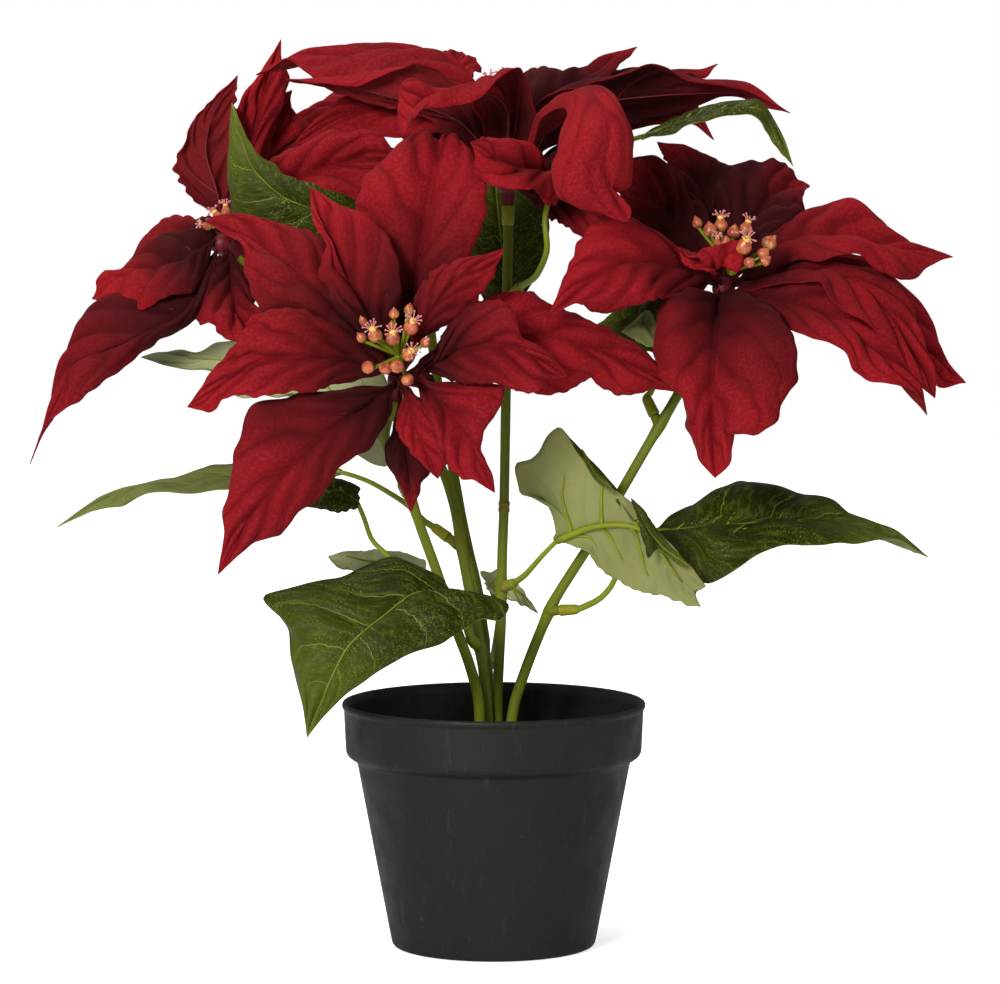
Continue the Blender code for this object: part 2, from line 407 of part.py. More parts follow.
COLOURS = {
    "pot_plastic": ((0.022, 0.022, 0.021), 0.55),
    "filler": ((0.035, 0.028, 0.022), 0.95),
    "stem_plastic": ((0.16, 0.22, 0.03), 0.42),
    "leaf_fabric": ((0.045, 0.085, 0.012), 0.6),
    "bract_fabric": ((0.30, 0.006, 0.012), 0.85),
    "flower_plastic": ((0.55, 0.16, 0.06), 0.5),
}


def place(point):
    """The world position, in millimetres, of a point of the front view at its depth."""
    across, down, depth = point[:3]
    right = (across - VIEW_CENTRE[0]) / VIEW_FOCUS
    up = (VIEW_CENTRE[1] - down) / VIEW_FOCUS
    ahead = math.cos(EYE_PITCH) + up * math.sin(EYE_PITCH)
    rise = up * math.cos(EYE_PITCH) - math.sin(EYE_PITCH)
    reach = (depth - EYE[1]) / ahead
    return np.array((EYE[0] + reach * right, depth, EYE[2] + reach * rise))


def unit(vector):
    return vector / max(np.linalg.norm(vector), 1e-9)


def resample(points, count):
    """Evenly spaced points on a taut curve through the given ones, count steps in all."""
    points = np.asarray(points, float)
    padded = np.vstack([2 * points[0] - points[1], points, 2 * points[-1] - points[-2]])
    tautness = 0.4
    dense = []
    for before, start, end, after in zip(padded, padded[1:], padded[2:], padded[3:]):
        leaving = tautness * (end - before)
        arriving = tautness * (after - start)
        for t in np.linspace(0, 1, 12, endpoint=False):
            dense.append((2 * t**3 - 3 * t**2 + 1) * start + (t**3 - 2 * t**2 + t) * leaving
                         + (3 * t**2 - 2 * t**3) * end + (t**3 - t**2) * arriving)
    dense = np.vstack([dense, points[-1]])
    travel = np.concatenate([[0], np.cumsum(np.linalg.norm(np.diff(dense, axis=0), axis=1))])
    wanted = np.linspace(0, travel[-1], count + 1)
    return np.column_stack([np.interp(wanted, travel, dense[:, axis]) for axis in range(3)])


def clear_scene():
    for old in list(bpy.data.objects):
        bpy.data.objects.remove(old)


def make_material(name):
    colour, roughness = COLOURS[name]
    material = bpy.data.materials.new(name)
    material.use_nodes = True
    shader = material.node_tree.nodes["Principled BSDF"]
    shader.inputs["Base Color"].default_value = (*colour, 1)
    shader.inputs["Roughness"].default_value = roughness
    shader.inputs["Metallic"].default_value = 0.0
    return material


def add_mesh(name, mesh, collection):
    piece = bpy.data.objects.new(name, mesh)
    collection.objects.link(piece)
    return piece


def evaluated_mesh(piece):
    bpy.context.view_layer.update()
    graph = bpy.context.evaluated_depsgraph_get()
    return bpy.data.meshes.new_from_object(piece.evaluated_get(graph))


def apply_modifiers(piece):
    mesh = evaluated_mesh(piece)
    piece.modifiers.clear()
    piece.data = mesh


def make_tube(name, points, radii, collection, resolution=PEG_RESOLUTION):
    """A closed tube along the points, made from a bevelled curve and turned into a mesh."""
    curve = bpy.data.curves.new(name, "CURVE")
    curve.dimensions = "3D"
    curve.bevel_depth = MM
    curve.bevel_resolution = resolution
    curve.use_fill_caps = True
    spline = curve.splines.new("POLY")
    spline.points.add(len(points) - 1)
    for knot, place_mm, radius in zip(spline.points, points, radii):
        knot.co = (*(np.asarray(place_mm) * MM), 1)
        knot.radius = radius
    guide = bpy.data.objects.new(name + "_curve", curve)
    collection.objects.link(guide)
    mesh = evaluated_mesh(guide)
    bpy.data.objects.remove(guide)
    work = bmesh.new()
    work.from_mesh(mesh)
    bmesh.ops.remove_doubles(work, verts=work.verts, dist=0.00001)
    bmesh.ops.recalc_face_normals(work, faces=work.faces)
    work.to_mesh(mesh)
    work.free()
    return add_mesh(name, mesh, collection)


def make_ball(name, centre, radius, collection, segments=6, rings=3, stretch=1.0):
    work = bmesh.new()
    bmesh.ops.create_uvsphere(work, u_segments=segments, v_segments=rings, radius=radius * MM)
    for vertex in work.verts:
        vertex.co.z *= stretch
        vertex.co += Vector(np.asarray(centre) * MM)
    mesh = bpy.data.meshes.new(name)
    work.to_mesh(mesh)
    work.free()
    return add_mesh(name, mesh, collection)


def blade_grid(root, blade, rows, columns):
    """The mid-surface of a blade as rows of points, guided by its middle and its two edges."""
    middle, left, right = ([place(p) for p in rail] for rail in blade)
    start = middle[0]
    rails = [resample([root, *middle], rows)]
    for edge in (left, right):
        claw = unit(edge[0] - start) * CLAW_HALF_WIDTH
        rails.append(resample([root + claw * CLAW_ROOT_SHARE, start + claw, *edge, middle[-1]], rows))
    share = np.linspace(-1, 1, columns + 1)
    edge = np.where(share[None, :, None] < 0, rails[1][:, None], rails[2][:, None])
    away = np.abs(share)[None, :, None]
    return rails[0][:, None] * (1 - away) + edge * away


def make_blade(name, root, blade, thickness, collection, rows):
    """A thin closed blade that narrows to one tip, its two faces split into triangles alike."""
    grid = blade_grid(root, blade, rows, BLADE_COLUMNS)
    middle = BLADE_COLUMNS // 2
    work = bmesh.new()
    body = [[work.verts.new(p * MM) for p in row] for row in grid[:-1]]
    body.append([work.verts.new(grid[-1][middle] * MM)] * (BLADE_COLUMNS + 1))
    for near, far in zip(body, body[1:]):
        for j in range(BLADE_COLUMNS):
            a, b, c, d = near[j], near[j + 1], far[j + 1], far[j]
            halves = ((a, b, c), (a, c, d)) if j < middle else ((a, b, d), (b, c, d))
            for half in halves:
                if len(set(half)) == 3:
                    work.faces.new(half)
    mesh = bpy.data.meshes.new(name)
    work.to_mesh(mesh)
    work.free()
    piece = add_mesh(name, mesh, collection)
    solid = piece.modifiers.new("thickness", "SOLIDIFY")
    solid.thickness = thickness * MM
    solid.offset = 0.0
    apply_modifiers(piece)
    return piece


def drop_scraps(mesh):
    """Keeps the largest connected body of a mesh."""
    work = bmesh.new()
    work.from_mesh(mesh)
    left = set(work.verts)
    bodies = []
    while left:
        body = {left.pop()}
        front = list(body)
        while front:
            for edge in front.pop().link_edges:
                for corner in edge.verts:
                    if corner in left:
                        left.discard(corner)
                        body.add(corner)
                        front.append(corner)
        bodies.append(body)
    largest = max(bodies, key=len)
    bmesh.ops.delete(work, geom=[v for v in work.verts if v not in largest], context="VERTS")
    work.to_mesh(mesh)
    work.free()


def apply_boolean(piece, operation, others, solver="EXACT"):
    """Joins or cuts a piece with others, and removes them."""
    helpers = bpy.data.collections.new(piece.name + "_helpers")
    bpy.context.scene.collection.children.link(helpers)
    for other in others:
        helpers.objects.link(other)
    boolean = piece.modifiers.new(operation.lower(), "BOOLEAN")
    boolean.operation = operation
    boolean.operand_type = "COLLECTION"
    boolean.collection = helpers
    boolean.solver = solver
    apply_modifiers(piece)
    drop_scraps(piece.data)
    for other in others:
        bpy.data.objects.remove(other)
    bpy.data.collections.remove(helpers)


def finish(piece, name, material):
    piece.name = name
    piece.data.materials.clear()
    piece.data.materials.append(material)
    piece.data.shade_smooth()
    piece.data.set_sharp_from_angle(angle=math.radians(40))


def turned(name, profile, collection, material):
    """A solid of revolution from (radius, height) points that run down its outer side and back up inside."""
    mesh = bpy.data.meshes.new(name)
    corners = [(radius * MM, 0, height * MM) for radius, height in profile]
    mesh.from_pydata(corners, [(k, k + 1) for k in range(len(corners) - 1)], [])
    piece = add_mesh(name, mesh, collection)
    screw = piece.modifiers.new("turn", "SCREW")
    screw.steps = POT_STEPS
    screw.render_steps = POT_STEPS
    screw.use_merge_vertices = True
    screw.merge_threshold = 0.00001
    apply_modifiers(piece)
    finish(piece, name, material)
    return piece


def wall_radius(height):
    """The pot body's outer radius below its shoulder."""
    low = POT_BASE_DIAMETER / 2
    return low + (POT_SHOULDER_RADIUS - low) * height / (POT_HEIGHT - POT_BAND_HEIGHT - 6)


def make_pot(collection, material):
    rim = POT_RIM_DIAMETER / 2
    band_low = POT_HEIGHT - POT_BAND_HEIGHT
    shoulder = band_low - 6
    foot = 3.0
    profile = [
        (0, POT_WALL + 0.8), (wall_radius(6) - POT_WALL - 2, POT_WALL + 0.8),
        (wall_radius(6) - POT_WALL, 5), (wall_radius(shoulder) - POT_WALL, shoulder),
        (POT_BAND_RADIUS - POT_WALL - 1, band_low), (POT_BAND_RADIUS - POT_WALL, POT_HEIGHT - POT_LIP_HEIGHT),
        (rim - POT_WALL, POT_HEIGHT - 0.6), (rim - 0.9, POT_HEIGHT), (rim - 0.3, POT_HEIGHT - 0.4),
        (rim, POT_HEIGHT - 1.2), (rim - 0.2, POT_HEIGHT - POT_LIP_HEIGHT + 0.6),
        (POT_BAND_RADIUS + 0.2, POT_HEIGHT - POT_LIP_HEIGHT), (POT_BAND_RADIUS - 0.6, band_low),
        (POT_BAND_RADIUS - 1.6, band_low - 1.6), (wall_radius(shoulder) + 0.6, band_low - 3.4),
        (wall_radius(shoulder), shoulder), (wall_radius(foot), foot), (wall_radius(1) - 0.2, 0.8),
        (wall_radius(0) - 1.4, 0), (0, 0),
    ]
    turned("pot", profile, collection, material)


def make_filler(collection, material):
    shoulder = POT_HEIGHT - POT_BAND_HEIGHT - 6
    inset = POT_WALL + 2 * GAP
    top_radius = wall_radius(shoulder) - inset
    profile = [
        (0, FILLER_TOP), (top_radius * 0.6, FILLER_TOP - 0.5), (top_radius, shoulder - 1),
        (wall_radius(6) - inset, 6), (wall_radius(6) - inset - 3, POT_WALL + 0.8 + GAP),
        (0, POT_WALL + 0.8 + GAP),
    ]
    filler = turned("filler", profile, collection, material)
    holes = []
    for course in STEMS.values():
        run = [p for p in stem_course(course) if p[2] < FILLER_TOP + STEM_STEP]
        bottom = run[0] - np.array((0, 0, GAP))
        radii = [HOLE_RADIUS] * len(run)
        holes.append(make_tube("hole", [bottom, *run[1:]], radii, collection, STEM_RESOLUTION))
    apply_boolean(filler, "DIFFERENCE", holes)
    finish(filler, "filler", material)


def stem_course(course):
    points = [place(p) for p in course]
    length = sum(np.linalg.norm(b - a) for a, b in zip(points, points[1:]))
    return resample(points, round(length / STEM_STEP))


def peg_line(leaf):
    """Where a leaf's peg leaves its stem, and the way it points."""
    _, spot, toward, _, _ = leaf
    start = place(spot)
    return start, unit(place(toward) - start)


def make_stems(collection, material):
    for name, course in STEMS.items():
        points = stem_course(course)
        radii = [STEM_RADIUS] * len(points)
        stem = make_tube("stem_" + name, points, radii, collection, STEM_RESOLUTION)
        end = points[-1]
        way = unit(points[-1] - points[-2])
        pegs = [make_tube("tip", [end - way * SINK, end + way * PEG_LENGTH], [PEG_RADIUS] * 2, collection)]
        for leaf in LEAVES.values():
            if leaf[0] != name:
                continue
            start, toward = peg_line(leaf)
            out = start + toward * (STEM_RADIUS + STUB_LENGTH)
            pegs.append(make_tube("stub", [start, out], [STUB_RADIUS] * 2, collection))
            pegs.append(make_tube("peg", [start, out + toward * PEG_LENGTH], [PEG_RADIUS] * 2, collection))
        apply_boolean(stem, "UNION", pegs)
        finish(stem, "stem_" + name, material)


def make_leaves(collection, material):
    for name, leaf in LEAVES.items():
        start, toward = peg_line(leaf)
        mouth = start + toward * (STEM_RADIUS + STUB_LENGTH + GAP)
        sleeve_end = mouth + toward * SLEEVE_LENGTH
        blade = leaf[4]
        root = place(blade[0][0])
        inward = unit(place(blade[0][1]) - root)
        route = [sleeve_end - toward * SINK, sleeve_end]
        route += [place(p) for p in leaf[3]] + [root, root + inward * PETIOLE_INTO_BLADE]
        length = sum(np.linalg.norm(b - a) for a, b in zip(route, route[1:]))
        course = resample(route, max(4, round(length / PETIOLE_STEP)))
        radii = np.linspace(PETIOLE_RADIUS * 1.15, PETIOLE_RADIUS * 0.85, len(course))
        piece = make_tube("leaf", [mouth, sleeve_end], [SLEEVE_RADIUS] * 2, collection)
        stalk = make_tube("stalk", course, radii, collection)
        rows = 10 if len(blade[1]) + len(blade[2]) > 13 else 7
        sheet = make_blade("sheet", root - inward * SINK, blade, LEAF_THICKNESS, collection, rows)
        apply_boolean(piece, "UNION", [stalk, sheet], SHEET_SOLVER)
        bore_line = [mouth - toward * CUT_BEYOND, mouth + toward * SOCKET_DEPTH]
        bore = make_tube("bore", bore_line, [SOCKET_RADIUS] * 2, collection)
        apply_boolean(piece, "DIFFERENCE", [bore])
        finish(piece, "leaf_" + name, material)


def hub_of(name):
    """The stem's end, its way, and the centre of the hub that the bracts grow from."""
    points = stem_course(STEMS[name])
    way = unit(points[-1] - points[-2])
    return points[-1], way, points[-1] + way * (COLLAR_LENGTH + GAP)


def make_bracts(collection, material):
    for name, blades in BRACTS.items():
        end, way, hub = hub_of(name)
        mouth = end + way * GAP
        piece = make_tube("hub", [mouth, hub], [COLLAR_RADIUS] * 2, collection)
        parts = [make_ball("bulb", hub, HUB_RADIUS, collection, segments=10, rings=6)]
        for blade in blades.values():
            root = hub + unit(place(blade[0][0]) - hub) * CLAW_SINK
            edges = len(blade[1]) + len(blade[2])
            rows = 8 if edges > 9 else 6
            parts.append(make_blade("blade", root, blade, BRACT_THICKNESS, collection, rows))
        apply_boolean(piece, "UNION", parts, SHEET_SOLVER)
        bore_line = [mouth - way * CUT_BEYOND, mouth + way * SOCKET_DEPTH]
        bore = make_tube("bore", bore_line, [SOCKET_RADIUS] * 2, collection)
        apply_boolean(piece, "DIFFERENCE", [bore])
        finish(piece, "bracts_" + name, material)


def make_flowers(collection, material):
    for name, (knob_point, heads) in HEADS.items():
        knob = place(knob_point)
        piece = make_ball("knob", knob, KNOB_RADIUS, collection)
        parts = []
        for head in heads:
            centre = place(head)
            parts.append(make_ball("head", centre, head[3], collection, stretch=HEAD_STRETCH))
            parts.append(make_tube("stalk", [knob, centre], [STALK_RADIUS] * 2, collection, resolution=0))
        apply_boolean(piece, "UNION", parts)
        finish(piece, "flowers_" + name, material)


def main():
    clear_scene()
    collection = bpy.data.collections.new("poinsettia")
    bpy.context.scene.collection.children.link(collection)
    materials = {name: make_material(name) for name in COLOURS}
    make_pot(collection, materials["pot_plastic"])
    make_filler(collection, materials["filler"])
    make_stems(collection, materials["stem_plastic"])
    make_leaves(collection, materials["leaf_fabric"])
    make_bracts(collection, materials["bract_fabric"])
    make_flowers(collection, materials["flower_plastic"])


main()
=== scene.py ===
"""Looks of the potted artificial poinsettia: fabric blooms and leaves, moulded stems, a black plastic pot.

Sizes are millimetres, and metres where a name ends in _M or _m. -Y is the front, and the origin is the centre
of the pot's base.
"""

import math

import bpy
import numpy as np
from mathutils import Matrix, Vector


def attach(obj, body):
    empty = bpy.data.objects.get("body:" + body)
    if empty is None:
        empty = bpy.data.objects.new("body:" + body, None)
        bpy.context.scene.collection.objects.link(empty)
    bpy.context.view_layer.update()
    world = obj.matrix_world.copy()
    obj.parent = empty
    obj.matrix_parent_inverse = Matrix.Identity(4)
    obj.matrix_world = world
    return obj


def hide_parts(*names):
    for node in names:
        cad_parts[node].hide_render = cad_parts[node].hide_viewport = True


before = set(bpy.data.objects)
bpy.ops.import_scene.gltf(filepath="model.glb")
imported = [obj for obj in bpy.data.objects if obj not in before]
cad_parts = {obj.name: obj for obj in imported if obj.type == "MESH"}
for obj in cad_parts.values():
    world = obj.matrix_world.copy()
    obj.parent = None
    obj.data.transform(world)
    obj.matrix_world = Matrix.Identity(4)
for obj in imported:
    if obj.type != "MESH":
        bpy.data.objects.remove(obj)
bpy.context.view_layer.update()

MM = 0.001
GAP = 0.3

# The pot and its filler
POT_RIM_DIAMETER = 120.4
POT_BASE_DIAMETER = 80.5
POT_HEIGHT = 97.7
POT_BAND_HEIGHT = 20.0
POT_BAND_RADIUS = 59.2
POT_SHOULDER_RADIUS = 53.8
POT_LIP_HEIGHT = 3.0
POT_WALL = 1.6
POT_SHOULDER_DROP = 6.0
POT_FLOOR_EXTRA = 0.8
POT_CORNER = 1.2
POT_STEPS = 160
FILLER_TOP = 73.0
FILLER_RINGS = 56
FILLER_SIDES = 160
FILLER_LUMP = 0.45
FILLER_CRUMB = 0.22

# Stems, leaf stalks and blooms
STEM_RADIUS = 2.0
STEM_STEP = 3.0
STEM_COARSE_STEP = 15.0
STUB_LENGTH = 3.0
SLEEVE_RADIUS = 2.3
SLEEVE_LENGTH = 8.0
PETIOLE_RADIUS = 1.1
COLLAR_RADIUS = 3.0
COLLAR_LENGTH = 8.0
HUB_RADIUS = 4.6
KNOB_RADIUS = 2.2
STALK_RADIUS = 0.7
BUD_SIZE = 2.15
STAMENS = 11
STAMEN_RADIUS = 0.2
STAMEN_TIP_RADIUS = 0.42

CLAW_HALF_WIDTH = 3.2
CLAW_ROOT_SHARE = 0.6
CLAW_SINK = 2.0
SINK = 1.5
FABRIC_THICKNESS = 0.4

# Relief of a blade: its half width where the relief is full, the half width of the crease along its
# middle, the share of the half width where an edge starts to roll, and how far the veins of one side lie
# behind those of the other.
FULL_RELIEF_WIDTH = 8.0
CREASE_WIDTH = 1.4
CURL_FROM = 0.72
VEIN_SHIFT = 0.45

# Moulded ribs under the blades: their radius, and where pairs of them leave the middle.
BRACT_RIB_RADIUS = 0.6
BRACT_RIB_STARTS = (0.22, 0.42)
LEAF_RIB_RADIUS = 0.95
THICK_RIB_RADIUS = {"pale_right": 1.6}
LEAF_RIB_STARTS = (0.08, 0.26, 0.44)

# Turned details of the moulded parts: steps along them, with a radius at each. The sleeve's steps and radii
# are shares of its length and radius, and its warmth is how brown it is. The stub's steps are shares too.
SLEEVE_STEPS = (0, 0.04, 0.1, 0.5, 0.8, 0.93, 1.0, 1.08)
SLEEVE_RADII = (0.9, 1.03, 1.0, 0.94, 0.9, 0.82, 0.68, 0.5)
SLEEVE_WARMTH = (0.0, 0.1, 0.2, 0.35, 0.3, 0.15, 0.0, 0.0)
STUB_STEPS = (0.0, 0.3, 0.6, 0.85, 0.97, 1.0)
STUB_RADII = (2.3, 2.2, 2.0, 1.95, 1.95, 1.7)
JOINT_STEPS = (-2.2, -2.0, -0.4, -0.1, 0.1, 0.4, 2.0, 2.3)
JOINT_RADII = (2.0, 2.28, 2.3, 2.05, 2.05, 2.3, 2.28, 2.0)
TIP_STEPS = (-8.0, -7.7, -4.0, -0.6, -0.1, 0.15)
TIP_RADII = (2.0, 2.4, 2.5, 2.6, 2.5, 2.2)

# The photo's view: the eye in millimetres, and the picture's centre and focal length in pixels.
EYE = (2.5, -2000.0, 365.0)
EYE_PITCH = math.radians(5.26)
VIEW_CENTRE = (500.0, 492.0)
VIEW_FOCUS = 5084.0
VIEW_WIDTH = 1000
SENSOR_WIDTH = 36

# Every point below is where the photo's view shows it, in pixels across and down, and its depth in
# millimetres.

# The middle line of each stem, from inside the filler to its tip.

STEMS = {
    "front": [(479, 850, -12), (479, 790, -12), (480, 720, -12), (475, 680, -13), (460, 640, -18),
              (438, 575, -30), (425, 540, -36), (413, 505, -44), (395, 465, -52), (385, 440, -56),
              (387, 415, -58), (394, 400, -60)],
    "left": [(487, 850, -3), (487, 790, -3), (488, 720, -3), (482, 660, -3), (474, 610, -3),
             (465, 570, -2), (457, 520, 0), (447, 480, 4), (420, 430, 10), (370, 375, 16),
             (300, 320, 18), (262, 287, 12), (242, 269, 8), (235, 258, 6)],
    "back": [(490, 850, 9), (490, 790, 9), (491, 720, 9), (487, 680, 9), (483, 630, 11),
             (476, 580, 16), (466, 540, 22), (455, 480, 32), (440, 400, 46), (427, 300, 60),
             (418, 220, 70), (414, 165, 74)],
    "centre": [(499, 850, 2), (499, 790, 2), (497, 720, 2), (498, 680, 2), (501, 620, 2),
               (502, 560, 2), (504, 510, 2), (505, 450, 1), (506, 390, 0), (507, 290, 0),
               (508, 240, 0), (508, 205, 0)],
    "right": [(507, 850, -7), (507, 790, -7), (511, 720, -6), (522, 680, -6), (535, 645, -8),
              (552, 605, -10), (570, 575, -12), (588, 548, -14), (622, 490, -18), (642, 455, -20),
              (660, 425, -20), (686, 380, -20), (706, 335, -18), (716, 308, -17)],
}

